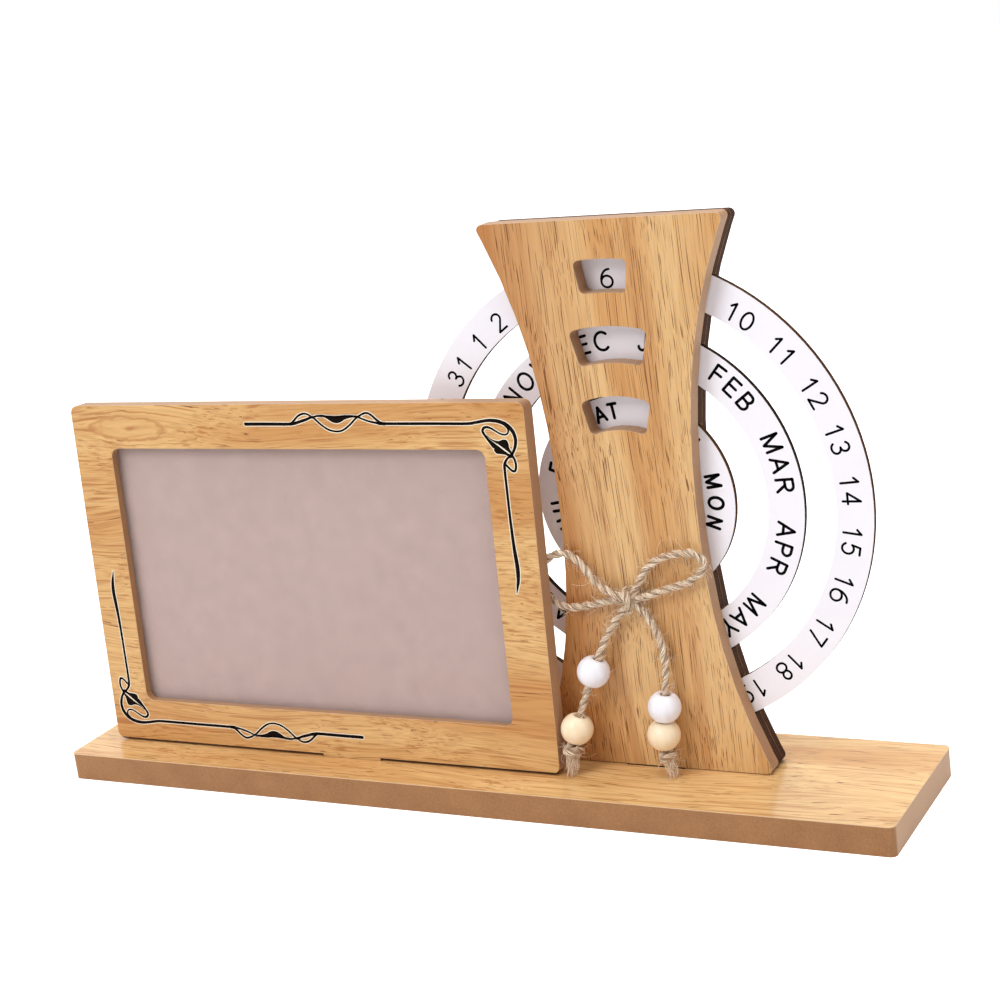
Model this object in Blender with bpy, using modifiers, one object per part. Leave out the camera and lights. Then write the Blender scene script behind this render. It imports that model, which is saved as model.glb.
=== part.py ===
import bpy
import bmesh
from math import acos, asin, ceil, cos, pi, radians, sin, sqrt, tan
from mathutils import Matrix, Vector

# A desk calendar that never runs out. An hourglass tower of laminated board holds three rings
# that turn about one axis and show the date, the month and the weekday through three windows.
# A photo frame stands in front of the rings, both are tenoned into one base board, and a
# twine bow with wooden beads is glued to the tower.
# Lengths are in metres. X runs along the base, Y to the back and Z up, from the middle of the
# base's underside.

# Clearances
seat_gap = 0.0003
tab_clearance = 0.0003
ring_radial_gap = 0.0005
overrun = 0.002

# Base board
base_length = 0.300
base_depth = 0.0605
base_thickness = 0.0095
base_corner = 0.0020

# Photo frame: a rabbet in its back takes a clear sheet and a back board
frame_from_left = 0.010
frame_from_front = 0.0152
frame_width = 0.176
frame_height = 0.121
frame_thickness = 0.006
frame_border = 0.015
frame_corner = 0.0028
opening_corner = 0.003
frame_lean = radians(3.0)
frame_tab_width = 0.0225
frame_tab_from_middle = 0.010
rabbet_depth = 0.003
rabbet_overlap = 0.004
rabbet_corner = 0.004
sheet_thickness = 0.001
back_board_thickness = 0.0014

# Turn buttons that close the frame's back, and their screws
button_from_middle = 0.050
button_reach = 0.0115
button_width = 0.006
button_thickness = 0.001
button_hole = 0.0029
button_head_share = 0.95
button_tip_share = 0.6
screw_shank = 0.0023
screw_length = 0.0050
screw_point_share = 0.45
screw_head = 0.0052
screw_head_height = 0.0011
head_rim_share = 0.45
head_crown_width_share = 0.75
head_crown_height_share = 0.9
pilot_hole = 0.0029
pilot_depth = 0.0042

# Tower: a front plate with windows, arc spacers and a back plate of one outline
tower_from_left = 0.2138
tower_from_front = 0.0283
tower_height = 0.1753
tower_back_drop = 0.0007
tower_end_width = 0.081
tower_waist_width = 0.046
tower_flare_power = 2.35
tower_corner = 0.0017
tower_corner_run = 0.0050
tower_tab_width = 0.020
front_plate_thickness = 0.0059
spacer_thickness = 0.0030
back_plate_thickness = 0.0030

# Rings
ring_centre_height = 0.087
ring_thickness = 0.0020
ring_front_gap = 0.0007
date_ring_radius = 0.0763
month_ring_radius = 0.0550
weekday_ring_radius = 0.03305
ring_band = 0.01145

# Windows: the radii of the two arcs, and the half widths at the upper and lower corners
date_window = {"outer": 0.0764, "inner": 0.0661, "upper_half": 0.0090, "lower_half": 0.0074}
month_window = {"outer": 0.05595, "inner": 0.04455, "upper_half": 0.0130, "lower_half": 0.0103}
weekday_window = {"outer": 0.0343, "inner": 0.0236, "upper_half": 0.0116, "lower_half": 0.0092}
window_corner = 0.0018

# Twine bow and beads
twine_diameter = 0.0022
knot_width = 0.0078
knot_height = 0.0068
knot_depth = 0.0046
knot_end_gap = 0.0007
bead_diameter = 0.0105
bead_height = 0.0087
bead_bore = 0.0033
end_knot_diameter = 0.0062
end_knot_length = 0.0056
end_knot_sweep = radians(140)
end_neck_diameter = 0.0026
end_tuft_diameter = 0.0038
end_tuft_length = 0.0022

# Fineness of the round shapes
ring_points = 120
corner_points = 5
window_arc_points = 7
side_points = 14
spacer_side_points = 3
arc_step = 0.0035
bead_steps = 20
bead_arc_points = 8
screw_steps = 18
knot_segments = 20
knot_rings = 12
unit_ball_radius = 0.5
end_knot_steps = 7
bisection_steps = 40
smooth_angle = radians(40)
twine_spacing = 0.0045
route_samples = 16
merge_distance = 0.00001
flat_angle = radians(0.05)

# Routes of the bow, chosen by eye: across from the tower's middle, height over the base board
# and distance out from the tower's face
knot_place = (-0.0011, 0.0569, 0.0026)
left_loop_route = (
    (-0.0030, 0.0577, 0.0034), (-0.0069, 0.0593, 0.0036), (-0.0107, 0.0614, 0.0033),
    (-0.0138, 0.0646, 0.0030), (-0.0167, 0.0685, 0.0030), (-0.0193, 0.0706, 0.0028),
    (-0.0217, 0.0715, 0.0026), (-0.0251, 0.0710, 0.0022), (-0.0283, 0.0695, 0.0019),
    (-0.0314, 0.0664, 0.0018), (-0.0325, 0.0628, 0.0018), (-0.0316, 0.0592, 0.0018),
    (-0.0294, 0.0564, 0.0018), (-0.0267, 0.0545, 0.0020), (-0.0242, 0.0538, 0.0024),
    (-0.0198, 0.0538, 0.0028), (-0.0150, 0.0547, 0.0029), (-0.0107, 0.0558, 0.0027),
    (-0.0072, 0.0565, 0.0024), (-0.0030, 0.0568, 0.0023),
)
right_loop_route = (
    (0.0010, 0.0602, 0.0028), (0.0031, 0.0636, 0.0030), (0.0051, 0.0666, 0.0030),
    (0.0078, 0.0692, 0.0030), (0.0106, 0.0709, 0.0030), (0.0141, 0.0720, 0.0030),
    (0.0174, 0.0726, 0.0028), (0.0206, 0.0727, 0.0026), (0.0233, 0.0714, 0.0024),
    (0.0246, 0.0692, 0.0023), (0.0231, 0.0663, 0.0024), (0.0196, 0.0637, 0.0026),
    (0.0162, 0.0623, 0.0028), (0.0129, 0.0613, 0.0030), (0.0094, 0.0602, 0.0030),
    (0.0059, 0.0588, 0.0030), (0.0015, 0.0575, 0.0028),
)
left_tail_route = (
    (-0.0020, 0.0555, 0.0029), (-0.0043, 0.0528, 0.0030), (-0.0071, 0.0494, 0.0030),
    (-0.0110, 0.0435, 0.0036), (-0.0130, 0.0387, 0.0045), (-0.0152, 0.0335, 0.0057),
    (-0.0175, 0.0277, 0.0068), (-0.0197, 0.0216, 0.0078), (-0.0218, 0.0150, 0.0089),
    (-0.0229, 0.0104, 0.0100),
)
left_tail_beads = (5, 8)
left_end_points = ((-0.0229, 0.0104, 0.0100), (-0.0240, 0.0020, 0.0126))
right_tail_route = (
    (-0.0002, 0.0559, 0.0027), (0.0020, 0.0544, 0.0028), (0.0050, 0.0506, 0.0030),
    (0.0072, 0.0458, 0.0032), (0.0085, 0.0411, 0.0036), (0.0091, 0.0364, 0.0042),
    (0.0089, 0.0300, 0.0052), (0.0079, 0.0231, 0.0057), (0.0068, 0.0139, 0.0060),
    (0.0070, 0.0089, 0.0062),
)
right_tail_beads = (7, 8)
right_end_points = ((0.0070, 0.0089, 0.0062), (0.0098, 0.0012, 0.0078))

# Places that follow from the sizes above
base_left = -base_length / 2
base_front = -base_depth / 2
frame_x = base_left + frame_from_left + frame_width / 2
frame_y = base_front + frame_from_front
frame_foot = base_thickness + seat_gap + frame_thickness * sin(frame_lean)
frame_tab_length = (base_thickness - seat_gap) / cos(frame_lean) - frame_thickness * tan(frame_lean)
tower_x = base_left + tower_from_left
tower_y = base_front + tower_from_front
tower_tab_length = base_thickness
tower_low = seat_gap - ring_centre_height
tower_high = tower_height - ring_centre_height
spacer_front = front_plate_thickness + seat_gap
back_plate_front = spacer_front + spacer_thickness + seat_gap
tower_depth = back_plate_front + back_plate_thickness
ring_front = front_plate_thickness + ring_front_gap

for item in list(bpy.data.objects):
    bpy.data.objects.remove(item, do_unlink=True)

calendar = bpy.data.collections.new("perpetual desk calendar")
cutters = bpy.data.collections.new("cutters")
bpy.context.scene.collection.children.link(calendar)
bpy.context.scene.collection.children.link(cutters)


def make_material(name, colour, roughness, metallic=0.0, alpha=1.0):
    material = bpy.data.materials.new(name)
    material.use_nodes = True
    shader = material.node_tree.nodes["Principled BSDF"]
    shader.inputs["Base Color"].default_value = (*colour, 1.0)
    shader.inputs["Roughness"].default_value = roughness
    shader.inputs["Metallic"].default_value = metallic
    shader.inputs["Alpha"].default_value = alpha
    material.diffuse_color = (*colour, alpha)
    return material


def dress(item, material, smooth=False):
    item.data.materials.clear()
    item.data.materials.append(material)
    if smooth:
        item.data.shade_smooth()
        item.data.set_sharp_from_angle(angle=smooth_angle)
    return item


def place(item, parent=None, location=(0, 0, 0), rotation=(0, 0, 0)):
    item.parent = parent
    item.location = location
    item.rotation_euler = rotation
    return item


def make_cutter(item):
    item.hide_render = True
    item.display_type = "WIRE"
    calendar.objects.unlink(item)
    cutters.objects.link(item)
    return item


def cut(item, cutter):
    modifier = item.modifiers.new(cutter.name, "BOOLEAN")
    modifier.operation = "DIFFERENCE"
    modifier.solver = "EXACT"
    modifier.object = cutter


def rounded(corners):
    # Corners are (x, y, radius); one with a radius becomes an arc.
    points = []
    for index, (x, y, radius) in enumerate(corners):
        here = Vector((x, y))
        if radius == 0:
            points.append(here)
            continue
        before = (Vector(corners[index - 1][:2]) - here).normalized()
        after = (Vector(corners[(index + 1) % len(corners)][:2]) - here).normalized()
        half = acos(before.dot(after)) / 2
        middle = here + (before + after).normalized() * radius / sin(half)
        start = here + before * radius / tan(half) - middle
        end = here + after * radius / tan(half) - middle
        sweep = -start.angle_signed(end)
        for step in range(corner_points + 1):
            points.append(middle + Matrix.Rotation(sweep * step / corner_points, 2) @ start)
    return [(point.x, point.y) for point in points]


def circle(radius, count, centre=(0, 0)):
    turns = [2 * pi * step / count for step in range(count)]
    return [(centre[0] + radius * sin(turn), centre[1] + radius * cos(turn)) for turn in turns]


def rectangle(width, low, high, radius):
    half = width / 2
    return [(half, low, radius), (half, high, radius), (-half, high, radius), (-half, low, radius)]


def flat_shape(name, outlines, thickness):
    # A flat board in the XY plane about its mid-thickness, as a closed mesh.
    curve = bpy.data.curves.new(name, "CURVE")
    curve.dimensions = "2D"
    curve.fill_mode = "BOTH"
    curve.extrude = thickness / 2
    for outline in outlines:
        spline = curve.splines.new("POLY")
        spline.points.add(len(outline) - 1)
        for point, (x, y) in zip(spline.points, outline):
            point.co = (x, y, 0, 1)
        spline.use_cyclic_u = True
    drawn = bpy.data.objects.new(name + "_outline", curve)
    calendar.objects.link(drawn)
    depsgraph = bpy.context.evaluated_depsgraph_get()
    mesh = bpy.data.meshes.new_from_object(drawn.evaluated_get(depsgraph))
    mesh.name = name
    work = bmesh.new()
    work.from_mesh(mesh)
    bmesh.ops.remove_doubles(work, verts=work.verts, dist=merge_distance)
    bmesh.ops.dissolve_degenerate(work, dist=merge_distance, edges=work.edges)
    bmesh.ops.dissolve_limit(work, angle_limit=flat_angle, verts=work.verts, edges=work.edges)
    bmesh.ops.recalc_face_normals(work, faces=work.faces)
    work.to_mesh(mesh)
    work.free()
    board = bpy.data.objects.new(name, mesh)
    calendar.objects.link(board)
    board.matrix_world = drawn.matrix_world
    bpy.data.objects.remove(drawn)
    return board


def block(name, width, depth, height):
    mesh = bpy.data.meshes.new(name)
    work = bmesh.new()
    bmesh.ops.create_cube(work, size=1.0)
    bmesh.ops.scale(work, vec=(width, depth, height), verts=work.verts)
    work.to_mesh(mesh)
    work.free()
    item = bpy.data.objects.new(name, mesh)
    calendar.objects.link(item)
    return item


def turned(name, profile, steps, closed=False):
    # A profile of (radius, height) pairs, turned about Z; it runs down its outer side.
    mesh = bpy.data.meshes.new(name)
    work = bmesh.new()
    points = [work.verts.new((radius, 0, height)) for radius, height in profile]
    for first, second in zip(points, points[1:]):
        work.edges.new((first, second))
    if closed:
        work.edges.new((points[-1], points[0]))
    work.to_mesh(mesh)
    work.free()
    item = bpy.data.objects.new(name, mesh)
    calendar.objects.link(item)
    screw = item.modifiers.new("turn", "SCREW")
    screw.steps = steps
    screw.render_steps = steps
    screw.use_merge_vertices = True
    screw.merge_threshold = merge_distance
    return item


# Outlines of the tower and of what runs inside it, about the rings' centre

def half_width(y):
    waist = tower_waist_width / 2
    flare = tower_end_width / 2 - waist
    return waist + flare * (abs(y) / (tower_height / 2)) ** tower_flare_power


def side(low, high, count):
    heights = [low + (high - low) * step / count for step in range(count + 1)]
    return [(half_width(y), y) for y in heights]


def mirrored(right):
    return right + [(-corner[0], *corner[1:]) for corner in reversed(right)]


def tab_corners(width, low, length, middle=0):
    left, right = middle - width / 2, middle + width / 2
    return [(left, low, 0), (left, low - length, 0), (right, low - length, 0), (right, low, 0)]


def tower_outline(high):
    right = [(half_width(tower_low), tower_low, tower_corner)]
    for x, y in side(tower_low + tower_corner_run, high - tower_corner_run, side_points):
        right.append((x, y, 0))
    right.append((half_width(high), high, tower_corner))
    return rounded(mirrored(right) + tab_corners(tower_tab_width, tower_low, tower_tab_length - seat_gap))


def meeting_angle(radius):
    # The clock angle at which a circle about the rings' centre meets the tower's side.
    low, high = 0.0, pi / 2
    for _ in range(bisection_steps):
        middle = (low + high) / 2
        if radius * sin(middle) < half_width(radius * cos(middle)):
            low = middle
        else:
            high = middle
    return low


def arc(radius, start, end):
    count = ceil(abs(end - start) * radius / arc_step)
    turns = [start + (end - start) * step / count for step in range(count + 1)]
    return [(radius * sin(turn), radius * cos(turn)) for turn in turns]


def arc_spacer_outline(inner, outer, up):
    first, last = meeting_angle(inner), meeting_angle(outer)
    right = side(inner * cos(first), outer * cos(last), spacer_side_points)[1:-1]
    left = [(-x, y) for x, y in reversed(right)]
    outline = arc(inner, -first, first) + right + arc(outer, last, -last) + left
    return [(x, up * y) for x, y in outline]


def end_spacer_outline(radius, up):
    angle = meeting_angle(radius)
    end = tower_high - tower_back_drop if up > 0 else -tower_low
    right = side(radius * cos(angle), end - tower_corner_run, spacer_side_points)[1:]
    corners = [(x, up * y, 0) for x, y in arc(radius, -angle, angle) + right]
    corners.append((half_width(end), up * end, tower_corner))
    if up < 0:
        corners += reversed(tab_corners(tower_tab_width, -end, tower_tab_length - seat_gap))
    corners.append((-half_width(end), up * end, tower_corner))
    corners += [(-x, up * y, 0) for x, y in reversed(right)]
    return rounded(corners)


def window_outline(window):
    outer, inner = window["outer"], window["inner"]
    upper, lower = asin(window["upper_half"] / outer), asin(window["lower_half"] / inner)
    corners = []
    for radius, start, end in ((outer, -upper, upper), (inner, lower, -lower)):
        for step in range(window_arc_points + 1):
            turn = start + (end - start) * step / window_arc_points
            rounding = window_corner if step in (0, window_arc_points) else 0
            corners.append((radius * sin(turn), radius * cos(turn), rounding))
    return rounded(corners)


# Twine: a smooth route through hand-chosen points, cut off at the knot

def from_tower(point):
    across, height, out = point
    return Vector((tower_x + across, tower_y - out, base_thickness + height))


def smooth_route(route):
    points = [from_tower(point) for point in route]
    ends = [points[0] * 2 - points[1]] + points + [points[-1] * 2 - points[-2]]
    smooth = []
    for a, b, c, d in zip(ends, ends[1:], ends[2:], ends[3:]):
        for step in range(route_samples):
            t = step / route_samples
            smooth.append(((b * 2) + (c - a) * t + (a * 2 - b * 5 + c * 4 - d) * t**2
                           + (b * 3 - a - c * 3 + d) * t**3) / 2)
    return smooth + [points[-1]]


def clear_of_knot(point):
    offset = point - from_tower(knot_place)
    sizes = (knot_width, knot_depth, knot_height)
    return sum((distance / (size / 2 + knot_end_gap)) ** 2 for distance, size in zip(offset, sizes)) > 1


def even_route(points):
    lengths = [0.0]
    for first, second in zip(points, points[1:]):
        lengths.append(lengths[-1] + (second - first).length)
    count = ceil(lengths[-1] / twine_spacing)
    even = []
    index = 0
    for step in range(count + 1):
        wanted = lengths[-1] * step / count
        while index < len(points) - 2 and lengths[index + 1] < wanted:
            index += 1
        share = (wanted - lengths[index]) / (lengths[index + 1] - lengths[index])
        even.append(points[index].lerp(points[index + 1], share))
    return even


def twine(name, route, end_short=0.0):
    smooth = [point for point in smooth_route(route) if clear_of_knot(point)]
    while (smooth[-1] - from_tower(route[-1])).length < end_short:
        smooth.pop()
    points = even_route(smooth)
    curve = bpy.data.curves.new(name, "CURVE")
    curve.dimensions = "3D"
    curve.bevel_depth = twine_diameter / 2
    curve.bevel_resolution = 2
    curve.use_fill_caps = True
    spline = curve.splines.new("POLY")
    spline.points.add(len(points) - 1)
    for point, place_at in zip(spline.points, points):
        point.co = (*place_at, 1)
    spline.use_smooth = True
    item = bpy.data.objects.new(name, curve)
    calendar.objects.link(item)
    length = sum((second - first).length for first, second in zip(points, points[1:]))
    print(name, "length", round(length, 4))
    return item


def bead_profile():
    # Down the outer side from the flat round the bore, and up the bore.
    outer = bead_diameter / 2
    top = bead_height / 2
    first = acos(top / outer)
    profile = []
    for step in range(bead_arc_points + 1):
        turn = first + (pi - 2 * first) * step / bead_arc_points
        profile.append((outer * sin(turn), outer * cos(turn)))
    bore = bead_bore / 2
    return profile + [(bore, -top), (bore, top)]


def screw_profile():
    # From the shank's point up to the crown of the head, whose flat underside is at height zero.
    shank, head = screw_shank / 2, screw_head / 2
    crown = -screw_head_height
    return [(0, screw_length), (shank * screw_point_share, screw_length), (shank, screw_length - shank),
            (shank, 0), (head, 0), (head, crown * head_rim_share),
            (head * head_crown_width_share, crown * head_crown_height_share), (0, crown)]


def end_knot_profile():
    # From where the tail enters, round the knot, over the neck and down the frayed tuft.
    half_length = end_knot_length / 2
    profile = []
    for step in range(end_knot_steps):
        angle = end_knot_sweep * step / (end_knot_steps - 1)
        profile.append((end_knot_diameter / 2 * sin(angle), half_length * (cos(angle) - 1)))
    neck = -end_knot_length
    profile.append((end_neck_diameter / 2, neck))
    profile.append((end_tuft_diameter / 2, neck - end_tuft_length))
    profile.append((0, neck - end_tuft_length))
    return profile


def aim(item, centre, direction):
    item.rotation_mode = "QUATERNION"
    item.location = centre
    item.rotation_quaternion = direction.to_track_quat("Z", "Y")
    return item


board_face = make_material("pale laminated board", (0.76, 0.52, 0.27), 0.38)
burnt_board = make_material("dark cut board", (0.055, 0.032, 0.022), 0.75)
white_board = make_material("white laminated board", (0.90, 0.89, 0.91), 0.35)
clear_plastic = make_material("clear acrylic", (0.92, 0.94, 0.95), 0.05, alpha=0.3)
hardboard = make_material("grey brown hardboard", (0.52, 0.40, 0.36), 0.85)
steel = make_material("plated steel", (0.72, 0.71, 0.68), 0.3, metallic=1.0)
jute = make_material("jute twine", (0.58, 0.43, 0.26), 0.9)
white_bead = make_material("white painted wood", (0.88, 0.88, 0.90), 0.4)
beige_bead = make_material("natural wood bead", (0.88, 0.70, 0.42), 0.45)


def make_base():
    outline = rounded(rectangle(base_length, -base_depth / 2, base_depth / 2, base_corner))
    base = flat_shape("base_board", [outline], base_thickness)
    place(base, location=(0, 0, base_thickness / 2))
    dress(base, board_face)
    frame_slot = block("frame_slot", frame_tab_width + 2 * tab_clearance,
                       frame_thickness + 2 * tab_clearance, 2 * (base_thickness + overrun))
    middle = frame_thickness / 2
    slot_place = (frame_x + frame_tab_from_middle, frame_y + middle * cos(frame_lean),
                  frame_foot - middle * sin(frame_lean))
    place(frame_slot, location=slot_place, rotation=(-frame_lean, 0, 0))
    tower_slot = block("tower_slot", tower_tab_width + 2 * tab_clearance,
                       tower_depth + 2 * tab_clearance, base_thickness + 2 * overrun)
    place(tower_slot, location=(tower_x, tower_y + tower_depth / 2, base_thickness / 2))
    cut(base, make_cutter(frame_slot))
    cut(base, make_cutter(tower_slot))


def make_frame():
    root = bpy.data.objects.new("frame_root", None)
    calendar.objects.link(root)
    place(root, location=(frame_x, frame_y, frame_foot), rotation=(pi / 2 - frame_lean, 0, 0))
    outline = rounded(rectangle(frame_width, 0, frame_height, frame_corner)
                      + tab_corners(frame_tab_width, 0, frame_tab_length, frame_tab_from_middle))
    opening_width = frame_width - 2 * frame_border
    low, high = frame_border, frame_height - frame_border
    opening = rounded(rectangle(opening_width, low, high, opening_corner))
    board = flat_shape("frame_front", [outline, opening], frame_thickness)
    place(board, root, (0, 0, -frame_thickness / 2))
    dress(board, board_face)

    rabbet_width = opening_width + 2 * rabbet_overlap
    rabbet_low, rabbet_high = low - rabbet_overlap, high + rabbet_overlap
    pocket = rounded(rectangle(rabbet_width, rabbet_low, rabbet_high, rabbet_corner))
    rabbet = flat_shape("rabbet", [pocket], rabbet_depth + overrun)
    place(rabbet, root, (0, 0, -frame_thickness + (rabbet_depth - overrun) / 2))
    cut(board, make_cutter(rabbet))

    fill = rounded(rectangle(rabbet_width - 2 * seat_gap, rabbet_low + seat_gap, rabbet_high - seat_gap,
                             rabbet_corner))
    sheet_front = frame_thickness - rabbet_depth + seat_gap
    sheet = flat_shape("clear_sheet", [fill], sheet_thickness)
    place(sheet, root, (0, 0, -sheet_front - sheet_thickness / 2))
    dress(sheet, clear_plastic)
    back_front = sheet_front + sheet_thickness + seat_gap
    back = flat_shape("frame_back_board", [fill], back_board_thickness)
    place(back, root, (0, 0, -back_front - back_board_thickness / 2))
    dress(back, hardboard)

    make_buttons(root, board, rabbet_low, rabbet_high)


def make_buttons(root, board, rabbet_low, rabbet_high):
    half = button_width / 2
    head_radius, tip_radius = half * button_head_share, half * button_tip_share
    outline = rounded([(half, half, head_radius), (-half, half, head_radius),
                       (-half, -button_reach, tip_radius), (half, -button_reach, tip_radius)])
    button_front = frame_thickness + seat_gap
    head_face = button_front + button_thickness + seat_gap
    places = []
    for y, turn in ((rabbet_high + (frame_height - rabbet_high) / 2, 0), (rabbet_low / 2, pi)):
        for x in (-button_from_middle, button_from_middle):
            places.append((x, y, turn))
    for number, (x, y, turn) in enumerate(places, 1):
        button = flat_shape(f"turn_button_{number}", [outline, circle(button_hole / 2, screw_steps)],
                            button_thickness)
        place(button, root, (x, y, -button_front - button_thickness / 2), (0, 0, turn))
        dress(button, steel)
        screw = turned(f"turn_screw_{number}", screw_profile(), screw_steps)
        place(screw, root, (x, y, -head_face))
        dress(screw, steel, smooth=True)
        wall = pilot_hole / 2
        pilot_profile = [(0, pilot_depth), (wall, pilot_depth), (wall, -overrun), (0, -overrun)]
        pilot = turned(f"pilot_{number}", pilot_profile, screw_steps)
        place(pilot, root, (x, y, -frame_thickness))
        cut(board, make_cutter(pilot))


def make_tower():
    root = bpy.data.objects.new("tower_root", None)
    calendar.objects.link(root)
    place(root, location=(tower_x, tower_y, base_thickness + ring_centre_height), rotation=(pi / 2, 0, 0))
    windows = [window_outline(window) for window in (date_window, month_window, weekday_window)]
    front = flat_shape("tower_front_plate", [tower_outline(tower_high)] + windows, front_plate_thickness)
    place(front, root, (0, 0, -front_plate_thickness / 2))
    dress(front, board_face)
    back = flat_shape("tower_back_plate", [tower_outline(tower_high - tower_back_drop)], back_plate_thickness)
    place(back, root, (0, 0, -back_plate_front - back_plate_thickness / 2))
    dress(back, burnt_board)

    spacers = {
        "spacer_top": end_spacer_outline(date_ring_radius + ring_radial_gap, 1),
        "spacer_bottom": end_spacer_outline(date_ring_radius + ring_radial_gap, -1),
        "spacer_hub": circle(weekday_ring_radius - ring_band - ring_radial_gap, ring_points // 2),
    }
    for place_name, up in (("upper", 1), ("lower", -1)):
        for pair, low, high in (("weekday_month", weekday_ring_radius, month_ring_radius),
                                ("month_date", month_ring_radius, date_ring_radius)):
            spacers[f"spacer_{pair}_{place_name}"] = arc_spacer_outline(
                low + ring_radial_gap, high - ring_band - ring_radial_gap, up)
    for name, outline in spacers.items():
        spacer = flat_shape(name, [outline], spacer_thickness)
        place(spacer, root, (0, 0, -spacer_front - spacer_thickness / 2))
        dress(spacer, burnt_board)

    for name, radius in (("date_ring", date_ring_radius), ("month_ring", month_ring_radius),
                         ("weekday_ring", weekday_ring_radius)):
        ring = flat_shape(name, [circle(radius, ring_points), circle(radius - ring_band, ring_points)],
                          ring_thickness)
        place(ring, root, (0, 0, -ring_front - ring_thickness / 2))
        dress(ring, white_board, smooth=True)


def make_bow():
    mesh = bpy.data.meshes.new("twine_knot")
    work = bmesh.new()
    bmesh.ops.create_uvsphere(work, u_segments=knot_segments, v_segments=knot_rings, radius=unit_ball_radius)
    bmesh.ops.scale(work, vec=(knot_width, knot_depth, knot_height), verts=work.verts)
    work.to_mesh(mesh)
    work.free()
    knot = bpy.data.objects.new("twine_knot", mesh)
    calendar.objects.link(knot)
    place(knot, location=from_tower(knot_place))
    dress(knot, jute, smooth=True)

    dress(twine("twine_loop_left", left_loop_route), jute)
    dress(twine("twine_loop_right", right_loop_route), jute)
    for name, route, beads, end in (("left", left_tail_route, left_tail_beads, left_end_points),
                                    ("right", right_tail_route, right_tail_beads, right_end_points)):
        dress(twine(f"twine_tail_{name}", route, 2 * seat_gap), jute)
        smooth = smooth_route(route)
        for number, index in enumerate(beads, 1):
            middle = index * route_samples
            above, below = smooth[middle - route_samples // 2], smooth[middle + route_samples // 2]
            bead = turned(f"bead_{name}_{number}", bead_profile(), bead_steps, closed=True)
            aim(bead, smooth[middle], above - below)
            dress(bead, white_bead if number == 1 else beige_bead, smooth=True)
        top, tip = (from_tower(point) for point in end)
        end_knot = turned(f"twine_end_{name}", end_knot_profile(), bead_steps)
        aim(end_knot, top, top - tip)
        dress(end_knot, jute, smooth=True)


make_base()
make_frame()
make_tower()
make_bow()
bpy.context.view_layer.update()
print("objects", len([item for item in calendar.objects if item.type != "EMPTY"]))
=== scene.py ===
from math import asin, ceil, cos, pi, radians, sin

import bmesh
import bpy
from mathutils import Matrix, Vector


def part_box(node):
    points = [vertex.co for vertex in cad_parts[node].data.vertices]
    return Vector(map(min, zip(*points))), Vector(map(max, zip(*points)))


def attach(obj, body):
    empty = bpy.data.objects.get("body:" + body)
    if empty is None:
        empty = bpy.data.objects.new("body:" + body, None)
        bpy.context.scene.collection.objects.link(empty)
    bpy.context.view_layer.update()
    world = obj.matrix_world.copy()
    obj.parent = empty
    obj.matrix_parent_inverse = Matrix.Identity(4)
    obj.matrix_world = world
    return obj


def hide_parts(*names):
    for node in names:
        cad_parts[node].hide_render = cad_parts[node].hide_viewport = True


# A perpetual desk calendar: laminated board, white calendar rings, a photo frame and a twine bow.
# Metres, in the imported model's own frame: X along the base board, Y to the back, Z up.

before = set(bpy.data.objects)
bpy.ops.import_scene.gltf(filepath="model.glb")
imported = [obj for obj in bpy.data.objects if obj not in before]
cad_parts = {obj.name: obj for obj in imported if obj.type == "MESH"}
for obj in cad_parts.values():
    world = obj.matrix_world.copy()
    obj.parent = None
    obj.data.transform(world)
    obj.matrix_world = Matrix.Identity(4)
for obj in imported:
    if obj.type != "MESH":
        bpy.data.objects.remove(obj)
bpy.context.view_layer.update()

towerLow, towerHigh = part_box("tower_front_plate")
ringLow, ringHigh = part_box("date_ring")
towerX = (towerLow[0] + towerHigh[0]) / 2
towerFace = towerLow[1]
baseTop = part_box("base_board")[1][2]
ringX = (ringLow[0] + ringHigh[0]) / 2
ringZ = (ringLow[2] + ringHigh[2]) / 2
ringFace = ringLow[1]

# The leaning photo frame: the middle of its face, the way up along it and the way out of it
frameValues = {"height": 0.121, "thickness": 0.006, "lean": radians(3.0)}
frameLow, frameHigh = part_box("frame_front")
frameUp = Vector((0, sin(frameValues["lean"]), cos(frameValues["lean"])))
frameNormal = Vector((0, -cos(frameValues["lean"]), sin(frameValues["lean"])))
frameTop = Vector(((frameLow[0] + frameHigh[0]) / 2, frameHigh[1] + frameNormal.y * frameValues["thickness"],
                   frameHigh[2]))
framePlace = frameTop - frameUp * frameValues["height"] / 2


# Camera

cameraValues = {
    "place": (0.32862, -0.55659, 0.27142),
    "yaw": 29.09,  # degrees to the left of straight on
    "pitch": 15.34,  # degrees down
    "roll": -7.45,
    "lens": 74.885,
}


def makeCamera(values):
    yaw, pitch, roll = (radians(values[key]) for key in ("yaw", "pitch", "roll"))
    ahead = Vector((-sin(yaw) * cos(pitch), cos(yaw) * cos(pitch), -sin(pitch)))
    level = Vector((cos(yaw), sin(yaw), 0))
    upright = level.cross(ahead)
    right = level * cos(roll) + upright * sin(roll)
    up = upright * cos(roll) - level * sin(roll)
    camera = bpy.data.objects.new("camera", bpy.data.cameras.new("camera"))
    bpy.context.scene.collection.objects.link(camera)
    camera.data.lens = values["lens"]
    turned = Matrix((right, up, -ahead)).transposed().to_4x4()
    camera.matrix_world = Matrix.Translation(values["place"]) @ turned
    bpy.context.scene.camera = camera
    print("camera set")


makeCamera(cameraValues)


# Shared helpers

def hexColour(text):
    parts = [int(text[start:start + 2], 16) / 255 for start in (1, 3, 5)]
    linear = [part / 12.92 if part <= 0.04045 else ((part + 0.055) / 1.055) ** 2.4 for part in parts]
    return (*linear, 1.0)


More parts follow.
